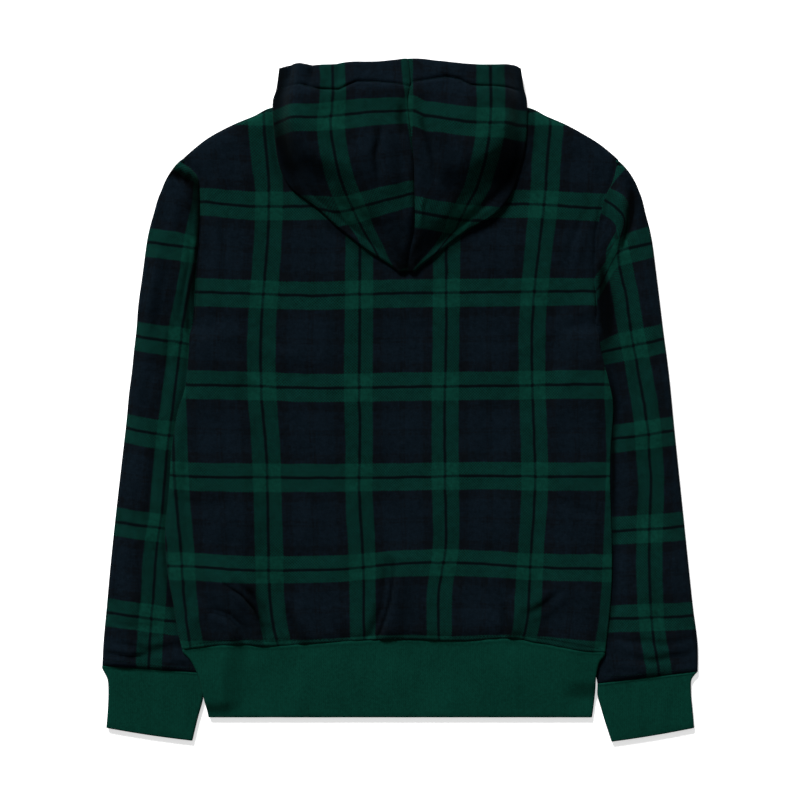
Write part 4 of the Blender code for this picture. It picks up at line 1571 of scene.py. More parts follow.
@dataclass
class HoodHalf(ClothPiece):
    """One half of the hood, folded down: upper layer, front end at the throat, layer below.

    Attributes:
        edge: Its folded outline, from the opening edge to the lowest point.
        side: Side of the hoodie that it is on.
        opening: Line of its opening edge.
        tight: Width of its rise where the hood is tight, in units of HOOD_RISE_WIDTH.
        slack: How much wider its rise is where the hood sags.
        steepness: Power that shapes the slope of its rise.
        swell: Share that its middle rises above the seam.
        across: Number of columns between the centre seam and the fold.
        down: Number of rows above the round lower end.
        creases: Its folds.
        casing: Trough of the stitched casing along the opening.
        seam: Centre seam.
    """
    edge: Rows = ()
    side: Side = Side.LEFT
    opening: Rows = ()
    tight: float = 0.72
    slack: float = 2.0
    steepness: float = 2.3
    swell: float = 0.28
    across: int = 72
    down: int = 168
    creases: tuple[Crease, ...] = ()
    casing: tuple[Crease, ...] = ()
    seam: Seam = Seam(depth=1.7, width=2.4, swell=0.9, swell_at=7.0, swell_width=4.5)

    def _fold_point(self, station: float) -> tuple[Vector, float]:
        """Find the middle of the wall at the folded outline.

        Args:
            station: Row of the outline.

        Returns:
            The point in the layout, and its height.
        """
        x, y, height = spline(self.edge, station)
        start = Vector((x, y))
        toward = Vector(spline(HOOD_SEAM, station)[0:2]) - start
        return start + toward.normalized() * (CLOTH / 2), height

    def _fold_width(self, station: float) -> float:
        """Width of the round fold at the outline."""
        return mix(HOOD_SIDE_RADIUS, HOOD_FOLD_RADIUS, smooth(station / HOOD_SHOULDER_STATION))

    def _layer_point(self, station: float, column: Column,
                     target: Vector) -> tuple[Vector, float, float, float]:
        """Find a point of a layer between the folded outline and the centre seam.

        Args:
            station: Row of the outline.
            column: Share of the way from the seam, and angle on the round fold.
            target: Point of the seam.

        Returns:
            The point in the layout, the height of the fold, how far the layer has turned flat
            from 0 to 1, and the share of the way from the fold.
        """
        fold, height = self._fold_point(station)
        share, angle = column
        sine, cosine = turned(angle)
        path = target - fold
        inset = self._fold_width(station) * (1.0 - cosine)
        if share < 1.0:
            inset = mix(path.length - SEAM_GAP / 2, inset, share)
        return fold + path.normalized() * inset, height, sine, inset / path.length

    def _columns(self, count: int) -> list[Column]:
        """Columns from the centre seam out, with the round fold at the outline."""
        shares = [index / count for index in range(count)]
        return [(share, None) for share in shares] + [(1.0, a) for a in reversed(FOLD_STEPS)]

    def _rows(self, count: int) -> list[Column]:
        """List the rows from the opening edge to the lowest point, which is rounded down.

        Args:
            count: Number of rows above the round end.

        Returns:
            Station of each row, and its angle on the round end.
        """
        last = len(self.edge) - 1
        ends = [(last - round_edge(angle, 1.0)[0] / 10.0, angle) for angle in reversed(FOLD_STEPS)]
        shoulder = float(HOOD_SHOULDER_STATION)
        above = [shoulder * i / (count // 4) for i in range(count // 4)]
        below = even_shares(count - count // 4, 0.0)
        first = ends[0][0] - 0.08
        return [(station, None) for station in above] \
            + [(mix(shoulder, first, share), None) for share in below] + ends

    def _relief(self, point: Vector, station: float, from_seam: float, free: float) -> float:
        """Sum the folds, casing, seam and unevenness of the upper layer.

        Args:
            point: Point in the layout.
            station: Row of the outline.
            from_seam: Distance from the centre seam.
            free: How free the cloth is to fold there, from 0 to 1.

        Returns:
            Height in millimetres.
        """
        height = creased(self.creases, point.x, point.y)
        height += 1.3 * rumple(point.x, point.y, 3.1)
        casing = creased(self.casing, point.x, point.y)
        return (height * smooth(from_seam / 8.0) + casing) * free \
            + self.seam.height(from_seam) * smooth(station / 0.4) - 1.2 * bell(station * 12.0, 2.5)

    def _fullness(self, station: float, reach: float, width: float) -> float:
        """Shape the rise of the upper layer.

        Args:
            station: Row of the outline.
            reach: Distance from the fold, in millimetres.
            width: Distance from the fold to the centre seam.

        Returns:
            Share of the full rise at the seam.
        """
        sag = smooth((station - 3.0) / 2.3) * (1.0 - 0.5 * smooth((station - 6.0) / 2.0))
        spread = HOOD_RISE_WIDTH * (self.tight + self.slack * sag)
        fullness = 1.0 - math.exp(-(reach / spread) ** self.steepness)
        fullness /= 1.0 - math.exp(-(width / spread) ** self.steepness)
        swell = self.swell * smooth(station / 1.5) * smooth((8.4 - station) / 2.4)
        return fullness * (1.0 + swell)

    def grids(self) -> list[Grid]:
        """Make three sheets that join along the folded outline.

        Returns:
            The upper layer, the front end and the layer below.
        """
        last = len(self.edge) - 1
        lower_height = CLOTH / 2 + LAYER + CLOTH + SEAM_GAP
        is_left = self.side is Side.LEFT
        outward = self.side.outward
        columns, rows = self._columns(self.across), self._rows(self.down)
        lower_rows = [row for row in rows if row[0] >= HOOD_SHOULDER_STATION]
        front_rows = [row for row in rows if row[0] <= HOOD_SHOULDER_STATION]

        def upper(column: int, row: int) -> Place:
            """Place a vertex of the upper layer.

            Args:
                column: Its column, from the centre seam.
                row: Its row, from the opening edge.

            Returns:
                Its x, y, z in millimetres.
            """
            station, end_angle = rows[row]
            seam = spline(HOOD_SEAM, station)
            target = Vector(seam[0:2])
            point, height, turn, share = self._layer_point(station, columns[column], target)
            fold = self._fold_point(station)[0]
            width = (target - fold).length
            fullness = self._fullness(station, share * width, width)
            end = turned(end_angle)[0]
            from_seam = width * (1.0 - share)
            free = smooth(share * width / 16.0) * smooth((last - station) / 1.5) * turn
            relief = self._relief(point, station, from_seam, free)
            height += (HOOD_FOLD_RADIUS * turn + seam[4] * fullness) * end + relief * end * turn
            if station < 1.0:
                straight = mix(fold.y, target.y, share)
                wanted = lookup(self.opening, point.x)[0]
                point.y += (wanted - straight) * (1.0 - station) ** 2 * smooth(share * width / 4.0)
            return point.x, point.y, height

        def lower(column: int, row: int) -> Place:
            """Place a vertex of the layer below.

            Args:
                column: Its column, from the centre seam.
                row: Its row, from the shoulder.

            Returns:
                Its x, y, z in millimetres.
            """
            station, end_angle = lower_rows[row]
            target = Vector(spline(HOOD_SEAM, station)[2:4])
            point, height, turn = self._layer_point(station, columns[column], target)[:3]
            return point.x, point.y, \
                height - (height - lower_height) * turn * turned(end_angle)[0]

        neck = BACK_TOP[NECK_ROW][0]
        corner = self._fold_point(0.0)[0]
        shoulder = self._fold_point(float(HOOD_SHOULDER_STATION))[0]
        throat = front_top(0.5)
        throat_end = Vector((-outward * SEAM_GAP / 2, throat.y + HOOD_FRONT_DEPTH))
        neck_end = Vector((-outward * SEAM_GAP / 2, throat.y + SEAM_GAP))
        neck_start = front_top(neck if is_left else 1.0 - neck)

        def front(column: int, row: int) -> Place:
            """Place a vertex of the front end, from the outline to the throat.

            Args:
                column: Its column, from the throat.
                row: Its row, from the opening edge.

            Returns:
                Its x, y, z in millimetres.
            """
            station = front_rows[row][0]
            share, angle = columns[column]
            fold, height = self._fold_point(station)
            turn, cosine = turned(angle)

            def path(reach: float) -> Vector:
                """Path from the outline to the middle of the throat at this row.

                Args:
                    reach: Share of the way.

                Returns:
                    The point in the layout.
                """
                place = mix(neck, 0.5, reach)
                neckline = front_top(place if is_left else 1.0 - place)
                neckline = neckline + Vector((0.0, SEAM_GAP)) \
                    + (shoulder - neck_start) * (1.0 - reach)
                if reach == 1.0:
                    neckline = neck_end
                return mix(mix(corner, throat_end, reach), neckline,
                           station / HOOD_SHOULDER_STATION)

            start_error = fold - path(0.0)
            if share == 1.0:
                toward = path(0.04) + start_error * 0.96 - fold
                point = fold + toward.normalized() * self._fold_width(station) * (1.0 - cosine)
            else:
                point = path(1.0 - share) + start_error * share
            return point.x, point.y, height - (height - CLOTH / 2) * turn

        return [Grid(len(columns), len(rows), upper),
                Grid(len(columns), len(front_rows), front),
                Grid(len(columns), len(lower_rows), lower)]


class NodeBench:
    """Short hand for building a node tree."""

    def __init__(self, tree: bpy.types.NodeTree) -> None:
        """Keep the tree that the nodes go to."""
        self.tree = tree

    def add(self, kind: str, settings: dict | None = None,
            **inputs: NodeValue) -> bpy.types.Node:
        """Add a node, set its options, and set or link its inputs.

        Args:
            kind: Type of the node.
            settings: Options of the node.
            inputs: Values or sockets, named as fill names them.

        Returns:
            The node.
        """
        node = self.tree.nodes.new(kind)
        for key, value in (settings or {}).items():
            setattr(node, key, value)
        return self.fill(node, **inputs)

    def fill(self, node: bpy.types.Node, **inputs: NodeValue) -> bpy.types.Node:
        """Set or link inputs of a node.

        Args:
            node: The node.
            inputs: Values or sockets by name, with _ for a space, or by number after an i.

        Returns:
            The node.
        """
        for key, value in inputs.items():
            name = int(key[1:]) if key[0] == "i" and key[1:].isdigit() else key.replace("_", " ")
            if isinstance(value, bpy.types.NodeSocket):
                self.tree.links.new(value, node.inputs[name])
            else:
                node.inputs[name].default_value = value
        return node

    def math(self, operation: str, first: NodeValue, second: NodeValue = 0.0,
             third: NodeValue = 0.0) -> bpy.types.NodeSocket:
        """Result of a math node."""
        return self.add("ShaderNodeMath", {"operation": operation}, i0=first, i1=second,
                        i2=third).outputs[0]

    def vector(self, operation: str, *inputs: NodeValue) -> bpy.types.NodeSocket:
        """Result of a vector math node."""
        named = {f"i{number}": value for number, value in enumerate(inputs)}
        return self.add("ShaderNodeVectorMath", {"operation": operation}, **named).outputs[0]

    def blend(self, share: NodeValue, first: NodeValue, second: NodeValue,
              kind: str = "MIX") -> bpy.types.NodeSocket:
        """Colour between two colours."""
        return self.add("ShaderNodeMix", {"data_type": "RGBA", "blend_type": kind}, i0=share,
                        i6=first, i7=second).outputs[2]

    def shaded(self, colour: NodeValue, shade: NodeValue) -> bpy.types.NodeSocket:
        """Colour times a shade of grey."""
        grey = self.add("ShaderNodeCombineColor", None, i0=shade, i1=shade, i2=shade).outputs[0]
        return self.blend(1.0, colour, grey, "MULTIPLY")

    def ramp(self, value: NodeValue,
             stops: Sequence[tuple[float, float]]) -> bpy.types.NodeSocket:
        """Read a value through a ramp of greys.

        Args:
            value: Value to read it at.
            stops: Place and grey value of each stop.

        Returns:
            The grey value.
        """
        node = self.add("ShaderNodeValToRGB", None, Fac=value)
        marks = node.color_ramp.elements
        while len(marks) < len(stops):
            marks.new(0.5)
        for mark, (place, level) in zip(marks, stops):
            mark.position = place
            mark.color = (level, level, level, 1.0)
        return node.outputs["Color"]


def new_material(name: str) -> tuple[bpy.types.Material, NodeBench, bpy.types.Node]:
    """Start a material with a plain surface.

    Args:
        name: Its name.

    Returns:
        The material, a bench for its nodes, and its surface shader.
    """
    material = bpy.data.materials.new(name)
    material.use_nodes = True
    return material, NodeBench(material.node_tree), material.node_tree.nodes["Principled BSDF"]


def shader_group(name: str, inputs: Sequence[tuple[str, str, object]],
                 outputs: Sequence[tuple[str, str]]) -> tuple[bpy.types.NodeTree, NodeBench]:
    """Start a shader node group with named sockets.

    Args:
        name: Name of the group.
        inputs: Name, socket type and default of each input.
        outputs: Name and socket type of each output.

    Returns:
        The group, and a bench to build it with.
    """
    group = bpy.data.node_groups.new(name, "ShaderNodeTree")
    for label, kind, default in inputs:
        socket = group.interface.new_socket(label, in_out="INPUT", socket_type=kind)
        if default is not None:
            socket.default_value = default
    for label, kind in outputs:
        group.interface.new_socket(label, in_out="OUTPUT", socket_type=kind)
    return group, NodeBench(group)


FLOAT, VECTOR = "NodeSocketFloat", "NodeSocketVector"
WHITE = (1.0, 1.0, 1.0, 1.0)


def nap_group() -> bpy.types.NodeTree:
    """Make the brushed nap of fleece: fine fuzz, small tufts and slow shading from brushing.

    Returns:
        The node group.
    """
    group, bench = shader_group(
        "Brushed nap", [("Place", VECTOR, None), ("Fuzz size", FLOAT, 620.0),
                        ("Tuft size", FLOAT, 190.0)],
        [("Height", FLOAT), ("Tone", FLOAT)])
    given = bench.add("NodeGroupInput")
    fuzz = bench.add("ShaderNodeTexNoise", None, Vector=given.outputs["Place"],
                     Scale=given.outputs["Fuzz size"], Detail=3.0, Roughness=0.65)
    tuft = bench.add("ShaderNodeTexNoise", None, Vector=given.outputs["Place"],
                     Scale=given.outputs["Tuft size"], Detail=2.0, Roughness=0.55)
    slow = bench.add("ShaderNodeTexNoise", None, Vector=given.outputs["Place"], Scale=22.0,
                     Detail=2.0, Roughness=0.5)
    height = bench.math("MULTIPLY_ADD", fuzz.outputs["Fac"], 0.55,
                        bench.math("MULTIPLY", tuft.outputs["Fac"], 0.45))
    tone = bench.math("MULTIPLY_ADD", fuzz.outputs["Fac"], 1.0,
                      bench.math("MULTIPLY_ADD", tuft.outputs["Fac"], 0.9,
                                 bench.math("MULTIPLY", slow.outputs["Fac"], 0.5)))
    bench.add("NodeGroupOutput", None, Height=height, Tone=bench.math("SUBTRACT", tone, 0.2))
    return group


def tartan_group() -> bpy.types.NodeTree:
    """Make the masks of a green, navy and black tartan from counts of its bands.

    Returns:
        The node group.
    """
    group, bench = shader_group(
        "Tartan bands", [("Bands", VECTOR, None), ("Twill", FLOAT, 30.0)],
        [("Upright green", FLOAT), ("Level green", FLOAT), ("Upright line", FLOAT),
         ("Level line", FLOAT), ("Ground", FLOAT), ("Twill", FLOAT)])
    given = bench.add("NodeGroupInput")
    parts = bench.add("ShaderNodeSeparateXYZ", None, Vector=given.outputs["Bands"])
    green = ((0.0, 0.0), (0.022, 0.05), (0.046, 1.0), (0.296, 1.0), (0.318, 0.0))
    line = ((0.0, 1.0), (0.016, 1.0), (0.036, 0.0))
    ground = ((0.0, 0.0), (0.32, 0.1), (0.36, -0.3), (0.50, 0.0), (0.56, 1.0), (0.68, 0.9),
              (0.74, 1.2), (0.92, 1.1), (0.955, 0.1), (0.985, 0.7))
    masks = []
    for axis in ("X", "Y"):
        whole = bench.math("ROUND", parts.outputs[axis])
        off = bench.math("ABSOLUTE", bench.math("SUBTRACT", parts.outputs[axis], whole))
        twice = bench.math("MULTIPLY", off, 2.0)
        masks.append([bench.ramp(twice, stops) for stops in (green, line, ground)])
    pace = bench.math("MULTIPLY", given.outputs["Twill"], math.pi)
    waves = [bench.math("SINE", bench.math("MULTIPLY", parts.outputs[axis], pace))
             for axis in ("X", "Y")]
    twill = bench.math("MULTIPLY_ADD", bench.math("MULTIPLY", *waves), 0.5, 0.5)
    bench.add("NodeGroupOutput", None, Upright_green=masks[0][0], Level_green=masks[1][0],
              Upright_line=masks[0][1], Level_line=masks[1][1],
              Ground=bench.math("MULTIPLY", bench.math("ADD", masks[0][2], masks[1][2]), 0.5),
              Twill=twill)
    return group


@dataclass(frozen=True)
class FleeceFinish:
    """Brushed polar fleece printed with a dark tartan.

    Attributes:
        crossing: Colour where two green stripes cross.
        level: Colour of the level green stripes.
        upright: Colour of the upright green stripes.
        navy: Colour of the dark squares' middles.
        border: Colour of their blacker borders.
        line: Colour of the fine line in the middle of a green stripe.
        nap: Strength of the nap's relief.
        sheen: Tint of the sheen on the nap.
    """
    crossing: Colour = (0.0016, 0.0235, 0.0163)
    level: Colour = (0.0011, 0.0231, 0.0163)
    upright: Colour = (0.0007, 0.0199, 0.0140)
    navy: Colour = (0.0021, 0.0047, 0.0077)
    border: Colour = (0.0018, 0.0026, 0.0037)
    line: Colour = (0.0006, 0.0025, 0.0029)
    nap: float = 0.55
    sheen: Colour = (0.55, 0.8, 0.78)

    def material(self, name: str, nap: bpy.types.NodeTree,
                 tartan: bpy.types.NodeTree) -> bpy.types.Material:
        """Build the material.

        Args:
            name: Its name.
            nap: Node group of the brushed nap.
            tartan: Node group of the tartan's bands.

        Returns:
            The material.
        """
        material, bench, shader = new_material(name)
        place = bench.add("ShaderNodeTexCoord").outputs["Object"]
        bands = bench.add("ShaderNodeUVMap", {"uv_map": "Cloth"}).outputs["UV"]
        waver = bench.add("ShaderNodeTexNoise", None, Vector=place, Scale=60.0, Detail=1.0)
        shift = bench.vector("MULTIPLY_ADD", waver.outputs["Color"], (0.018, 0.018, 0.0),
                             (-0.009, -0.009, 0.0))
        moved = bench.vector("ADD", bands, shift)
        cloth = bench.add("ShaderNodeGroup", {"node_tree": tartan}, Bands=moved, Twill=63.0)
        brushed = bench.add("ShaderNodeGroup", {"node_tree": nap}, Place=place, Fuzz_size=620.0,
                            Tuft_size=190.0)
        twill = cloth.outputs["Twill"]
        streaks = []
        for stretch in ((90.0, 900.0, 300.0), (900.0, 90.0, 300.0)):
            along = bench.vector("MULTIPLY", place, stretch)
            yarn = bench.add("ShaderNodeTexNoise", None, Vector=along, Scale=1.0, Detail=2.0)
            streaks.append(yarn.outputs["Fac"])
        yarns = bench.math("MULTIPLY", bench.math("ADD", streaks[0], streaks[1]), 0.5)
        mottle = bench.math("MULTIPLY_ADD", bench.math("SUBTRACT", yarns, 0.5), 3.6,
                            cloth.outputs["Ground"])
        dark = bench.blend(mottle, (*self.border, 1.0), (*self.navy, 1.0))
        half_seen = bench.ramp(twill, ((0.3, 0.2), (0.66, 1.0)))
        level = bench.math("MULTIPLY", cloth.outputs["Level green"], half_seen)
        upright = bench.math("MULTIPLY", cloth.outputs["Upright green"], half_seen)
        both = bench.math("MULTIPLY", cloth.outputs["Level green"], cloth.outputs["Upright green"])
        colour = bench.blend(upright, dark, (*self.upright, 1.0))
        colour = bench.blend(level, colour, (*self.level, 1.0))
        colour = bench.blend(both, colour, (*self.crossing, 1.0))
        for line, over in (("Upright line", "Level green"), ("Level line", "Upright green")):
            seen = bench.math("MULTIPLY_ADD", cloth.outputs[over], -0.55, 0.95)
            colour = bench.blend(bench.math("MULTIPLY", cloth.outputs[line], seen), colour,
                                 (*self.line, 1.0))
        # Painted shade: the vertex attribute darkens the colour in the folds, standing in for their
        # shadow
        painted_shade = bench.add("ShaderNodeAttribute", {"attribute_name": "PaintedShade"}).outputs["Fac"]
        shade = bench.math("MULTIPLY", brushed.outputs["Tone"],
                           bench.math("SUBTRACT", 1.0, painted_shade))
        bump = bench.add("ShaderNodeBump", None, Strength=self.nap, Distance=0.0009,
                         Height=brushed.outputs["Height"])
        bench.fill(shader, Base_Color=bench.shaded(colour, shade), Normal=bump.outputs["Normal"],
                   Roughness=0.95, Specular_IOR_Level=0.01, Sheen_Weight=0.008,
                   Sheen_Roughness=0.6, Sheen_Tint=(*self.sheen, 1.0))
        return material


@dataclass(frozen=True)
class KnitFinish:
    """Fine plain knit in one green, with its smooth face outside.

    Attributes:
        colour: Its green.
        ribs: How fine its loops are, as turns in radians per metre.
        sheen: Tint of the sheen on its fuzz.
    """
    colour: Colour = (0.0013, 0.0222, 0.0150)
    ribs: float = 1150.0
    sheen: Colour = (0.5, 0.8, 0.75)

    def material(self, name: str, nap: bpy.types.NodeTree) -> bpy.types.Material:
        """Build the material.

        Args:
            name: Its name.
            nap: Node group of the brushed nap.

        Returns:
            The material.
        """
        material, bench, shader = new_material(name)
        place = bench.add("ShaderNodeTexCoord").outputs["Object"]
        parts = bench.add("ShaderNodeSeparateXYZ", None, Vector=place)
        wale = bench.math("SINE", bench.math("MULTIPLY", parts.outputs["X"], self.ribs * 2.2))
        course = bench.math("SINE", bench.math("MULTIPLY", parts.outputs["Y"], self.ribs * 2.9))
        loops = bench.math("MULTIPLY_ADD", bench.math("MULTIPLY", wale, course), 0.25,
                           bench.math("MULTIPLY_ADD", wale, 0.2, 0.5))
        fuzz = bench.add("ShaderNodeGroup", {"node_tree": nap}, Place=place, Fuzz_size=1300.0,
                         Tuft_size=420.0)
        shade = bench.math("MULTIPLY", fuzz.outputs["Tone"],
                           bench.math("MULTIPLY_ADD", loops, 0.24, 0.88))
        height = bench.math("MULTIPLY_ADD", fuzz.outputs["Height"], 0.4, loops)
        bump = bench.add("ShaderNodeBump", None, Strength=0.4, Distance=0.0005, Height=height)
        bench.fill(shader, Base_Color=bench.shaded((*self.colour, 1.0), shade),
                   Normal=bump.outputs["Normal"], Roughness=0.9, Specular_IOR_Level=0.01,
                   Sheen_Weight=0.008, Sheen_Roughness=0.5, Sheen_Tint=(*self.sheen, 1.0))
        return material


@dataclass(frozen=True)
class ThreadFinish:
    """Matt sewing thread."""
    colour: Colour = (0.001, 0.008, 0.007)

    def material(self, name: str) -> bpy.types.Material:
        """Build the material, with its plies as a fine unevenness of shade.

        Args:
            name: Its name.

        Returns:
            The material.
        """
        material, bench, shader = new_material(name)
        place = bench.add("ShaderNodeTexCoord").outputs["Object"]
        ply = bench.add("ShaderNodeTexNoise", None, Vector=place, Scale=1500.0, Detail=1.0)
        colour = bench.blend(ply.outputs["Fac"], tuple(0.6 * c for c in self.colour) + (1.0,),
                             tuple(1.4 * c for c in self.colour) + (1.0,))
        bench.fill(shader, Base_Color=colour, Roughness=0.7, Specular_IOR_Level=0.02)
        return material


@dataclass
class Stitching:
    """A row or rows of machine stitches on one piece.

    Attributes:
        name: Name of the stitching.
        lines: Paths of the rows, as points x, y in millimetres.
        pitch: From one stitch to the next.
        length: Length of a stitch.
        width: Width of the thread as it lies.
        rise: Height of the thread above the cloth.
    """
    name: str
    lines: Sequence[Sequence[tuple[float, float]]]
    pitch: float = 3.4
    length: float = 2.5
    width: float = 0.75
    rise: float = 0.35

    def _marks(self, line: Sequence[tuple[float, float]]) -> list[tuple[float, float]]:
        """Points one pitch apart along a row.

        Args:
            line: Points of the row's path.

        Returns:
            Middles of its stitches.
        """
        steps = 40 * (len(line) - 1)
        points = [spline(line, (len(line) - 1) * i / steps) for i in range(steps + 1)]
        marks, travelled = [tuple(points[0])], 0.0
        for (x1, y1), (x2, y2) in zip(points, points[1:]):
            travelled += math.hypot(x2 - x1, y2 - y1)
            if travelled >= self.pitch:
                marks.append((x2, y2))
                travelled = 0.0
        return marks

    def build(self, cloth: bpy.types.Object, finish: bpy.types.Material,
              slot: Slot) -> bpy.types.Object:
        """Lay the stitches on a finished piece.

        Args:
            cloth: Dressed piece that carries them.
            finish: Material of the thread.
            slot: Material slot that the thread goes with; not used.

        Returns:
            The stitches, joined into one object.
        """
        surface = BVHTree.FromObject(cloth, bpy.context.evaluated_depsgraph_get())
        mesh = bmesh.new()
        for line in self.lines:
            marks = self._marks(line)
            for (x1, y1), (x2, y2) in zip(marks, marks[1:]):
                spots = [surface.ray_cast(Vector((x * MM, y * MM, 0.2)), Vector((0, 0, -1)))[0]
                         for x, y in ((x1, y1), (x2, y2))]
                if None in spots or abs(spots[0].z - spots[1].z) > 0.003:
                    continue
                self._stitch(mesh, spots[0], spots[1])
        piece = object_of(self.name, mesh, finish)
        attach(piece, "root")
        return piece

    def _stitch(self, mesh: bmesh.types.BMesh, start: Vector, end: Vector) -> None:
        """Add one stitch, a slim grain of thread that lies on the cloth.

        Args:
            mesh: Mesh of the stitches.
            start: Point of the cloth where the stitch comes up, in metres.
            end: Point where it goes down.
        """
        run = (end - start).normalized()
        turn = Vector((1.0, 0.0, 0.0)).rotation_difference(run).to_matrix().to_4x4()
        grain = bmesh.ops.create_icosphere(mesh, subdivisions=1, radius=1.0)["verts"]
        size = Vector((self.length, self.width, 2.0 * self.rise)) * (MM / 2)
        bmesh.ops.scale(mesh, vec=size, verts=grain)
        bmesh.ops.transform(mesh, matrix=turn, verts=grain)
        middle = (start + end) / 2 + Vector((0.0, 0.0, 0.3 * self.rise * MM))
        bmesh.ops.translate(mesh, vec=middle, verts=grain)


@dataclass
class Studio:
    """Plain pale floor, soft light and the camera straight above.

    Attributes:
        camera_height: Height of the camera above the floor, in metres.
        lens: Focal length in millimetres, on a sensor 36 mm wide.
        floor_size: Width of the floor.
        floor_glow: Light that the floor gives off, so that the contact shadow stays soft.
        room_light: Strength of the even light from all round.
    """
    camera_height: float = 2.3
    lens: float = 90.0
    floor_size: float = 8.0
    floor_glow: float = 0.55
    room_light: float = 0.23

    def build(self) -> None:
        """Make the floor, the lights, the surroundings and the camera."""
        self._floor()
        self._light("Key light", (-0.85, 2.3, 1.6), 15.0, 5.9)
        world = bpy.data.worlds.new("Soft room")
        world.use_nodes = True
        NodeBench(world.node_tree).fill(world.node_tree.nodes["Background"], Color=WHITE,
                                        Strength=self.room_light)
        bpy.context.scene.world = world
        bpy.context.scene.view_settings.view_transform = "Standard"
        data = bpy.data.cameras.new("Camera")
        data.lens = self.lens
        data.sensor_width = 36.0
        camera = bpy.data.objects.new("Camera", data)
        camera.location = (0.0, 0.0, self.camera_height)
        bpy.context.scene.collection.objects.link(camera)
        bpy.context.scene.camera = camera

    def _floor(self) -> None:
        """Add the floor just under the hoodie."""
        mesh = bmesh.new()
        bmesh.ops.create_grid(mesh, x_segments=4, y_segments=4, size=self.floor_size / 2)
        bmesh.ops.translate(mesh, vec=(0.0, 0.0, -0.0006), verts=mesh.verts)
        material, bench, shader = new_material("Pale floor")
        bench.fill(shader, Base_Color=(0.9, 0.9, 0.9, 1.0), Roughness=0.9,
                   Specular_IOR_Level=0.1, Emission_Color=WHITE,
                   Emission_Strength=self.floor_glow)
        object_of("Floor", mesh, material)

    def _light(self, name: str, place: Place, spread: float, power: float) -> None:
        """Add a far soft light that faces the hoodie.

        Args:
            name: Its name.
            place: Point that it shines from, in metres.
            spread: Angle that it fills, in degrees.
            power: Its power on a surface that faces it, in watts per square metre.
        """
        data = bpy.data.lights.new(name, "SUN")
        data.angle = math.radians(spread)
        data.energy = power
        light = bpy.data.objects.new(name, data)
        light.location = place
        light.rotation_euler = (-Vector(place)).to_track_quat("-Z", "Y").to_euler()
        bpy.context.scene.collection.objects.link(light)


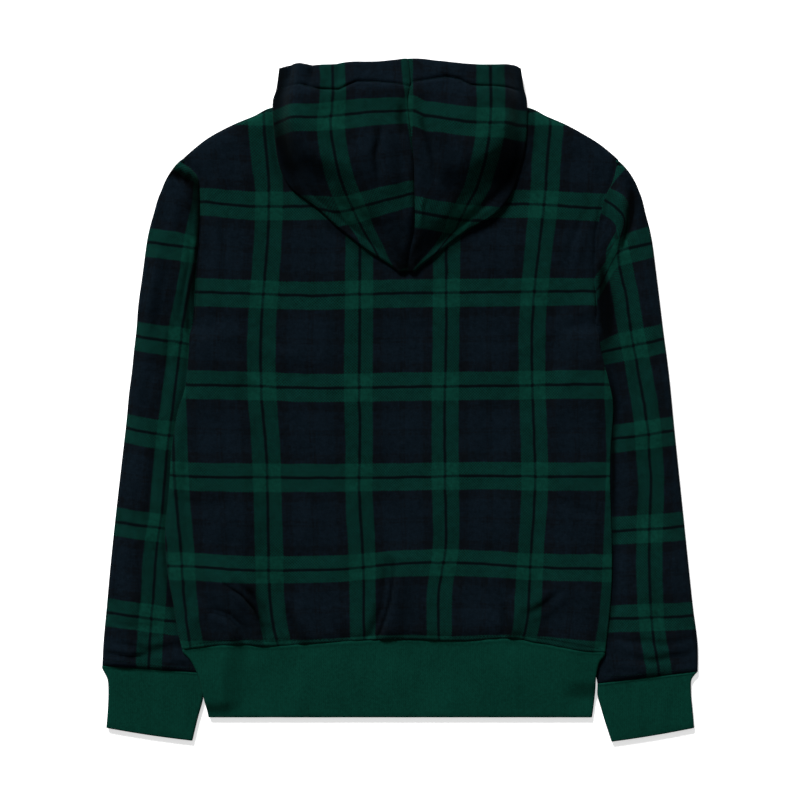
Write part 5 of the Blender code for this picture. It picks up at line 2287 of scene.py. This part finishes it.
@dataclass
class Hoodie:
    """The whole hoodie: its pieces, their finishes and their stitches.

    Attributes:
        body_plaid: Where the tartan runs on the body.
    """
    body_plaid: PlaidMap = PlaidMap(BODY_WARP, BODY_WEFT)

    def _pieces(self) -> list[ClothPiece]:
        """List every cloth piece, with its cut.

        Returns:
            The pieces.
        """
        left_sleeve = PlaidMap(LEFT_SLEEVE_WARP, LEFT_SLEEVE_WEFT)
        right_sleeve = PlaidMap(RIGHT_SLEEVE_WARP, RIGHT_SLEEVE_WEFT)
        left_hood = PlaidMap(LEFT_HOOD_WARP, LEFT_HOOD_WEFT)
        right_hood = PlaidMap(RIGHT_HOOD_WARP, RIGHT_HOOD_WEFT)
        plaid, knit = Slot.PLAID, Slot.KNIT
        return [
            BodyPanel("back_cloth", "back_panel", plaid, self.body_plaid, (0.51, 0.62), 0.297,
                      ("front_cloth",), painted_shade=BODY_PAINTED_SHADE),
            BodyPanel("front_cloth", "front_panel", plaid, self.body_plaid, (0.51, 0.62), 0.288,
                      (), is_back=False, across=44, down=52),
            Sleeve("sleeve_left_cloth", "sleeve_left", plaid, left_sleeve, (0.40, 0.62), 0.116,
                   (), table=SLEEVE_LEFT, side=Side.LEFT, creases=LEFT_SLEEVE_CREASES,
                   painted_shade=LEFT_SLEEVE_PAINTED_SHADE),
            Sleeve("sleeve_right_cloth", "sleeve_right", plaid, right_sleeve, (0.40, 0.62), 0.116,
                   (), table=SLEEVE_RIGHT, side=Side.RIGHT, creases=RIGHT_SLEEVE_CREASES,
                   painted_shade=RIGHT_SLEEVE_PAINTED_SHADE),
            Cuff("cuff_left_cloth", "cuff_left", knit, left_sleeve, (0.235, 0.08), 0.0168,
                 table=CUFF_LEFT, creases=LEFT_CUFF_CREASES),
            Cuff("cuff_right_cloth", "cuff_right", knit, right_sleeve, (0.225, 0.075), 0.0145,
                 table=CUFF_RIGHT, creases=RIGHT_CUFF_CREASES),
            Waistband("waistband_cloth", "waistband", knit, self.body_plaid, (0.95, 0.085),
                      0.080, creases=WAISTBAND_CREASES),
            HoodHalf("hood_left_cloth", "hood_left", plaid, left_hood, (0.26, 0.5), 0.061,
                     ("back_cloth",), edge=HOOD_EDGE_LEFT, side=Side.LEFT, opening=OPENING_LEFT,
                     creases=HOOD_CREASES, casing=(CASING_TROUGH_LEFT,),
                     painted_shade=HOOD_PAINTED_SHADE + LEFT_HOOD_PAINTED_SHADE),
            HoodHalf("hood_right_cloth", "hood_right", plaid, right_hood, (0.26, 0.5), 0.055,
                     ("back_cloth",), edge=HOOD_EDGE_RIGHT, side=Side.RIGHT, opening=OPENING_RIGHT,
                     slack=2.3, creases=HOOD_CREASES, casing=(CASING_TROUGH_RIGHT,),
                     painted_shade=HOOD_PAINTED_SHADE + RIGHT_HOOD_PAINTED_LIGHT_AND_SHADE),
        ]

    def build(self) -> None:
        """Build and stitch every piece."""
        nap, tartan = nap_group(), tartan_group()
        fleece = FleeceFinish().material("Tartan fleece", nap, tartan)
        knit = KnitFinish().material("Plain green knit", nap)
        thread = ThreadFinish().material("Green thread")
        pieces = self._pieces()
        made = {piece.node: piece.build(fleece if piece.slot is Slot.PLAID else knit)
                for piece in pieces}
        rows = {
            "back_panel": Stitching("hem_stitching", (HEM_STITCHES,)),
            "hood_left": Stitching("casing_stitching_left", (CASING_LEFT,)),
            "hood_right": Stitching("casing_stitching_right", (CASING_RIGHT,)),
            "sleeve_left": Stitching("wrist_stitching_left", (WRIST_LEFT,)),
            "sleeve_right": Stitching("wrist_stitching_right", (WRIST_RIGHT,)),
        }
        for piece in pieces:
            sewn = []
            if piece.node in rows:
                sewn.append(rows[piece.node].build(made[piece.node], thread, Slot.PLAID))
            piece.declare(sewn)


def main() -> None:
    """Dress the hoodie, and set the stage."""
    logging.basicConfig(level=logging.INFO, format="%(name)s: %(message)s")
    Hoodie().build()
    Studio().build()


if __name__ == "__main__":
    main()
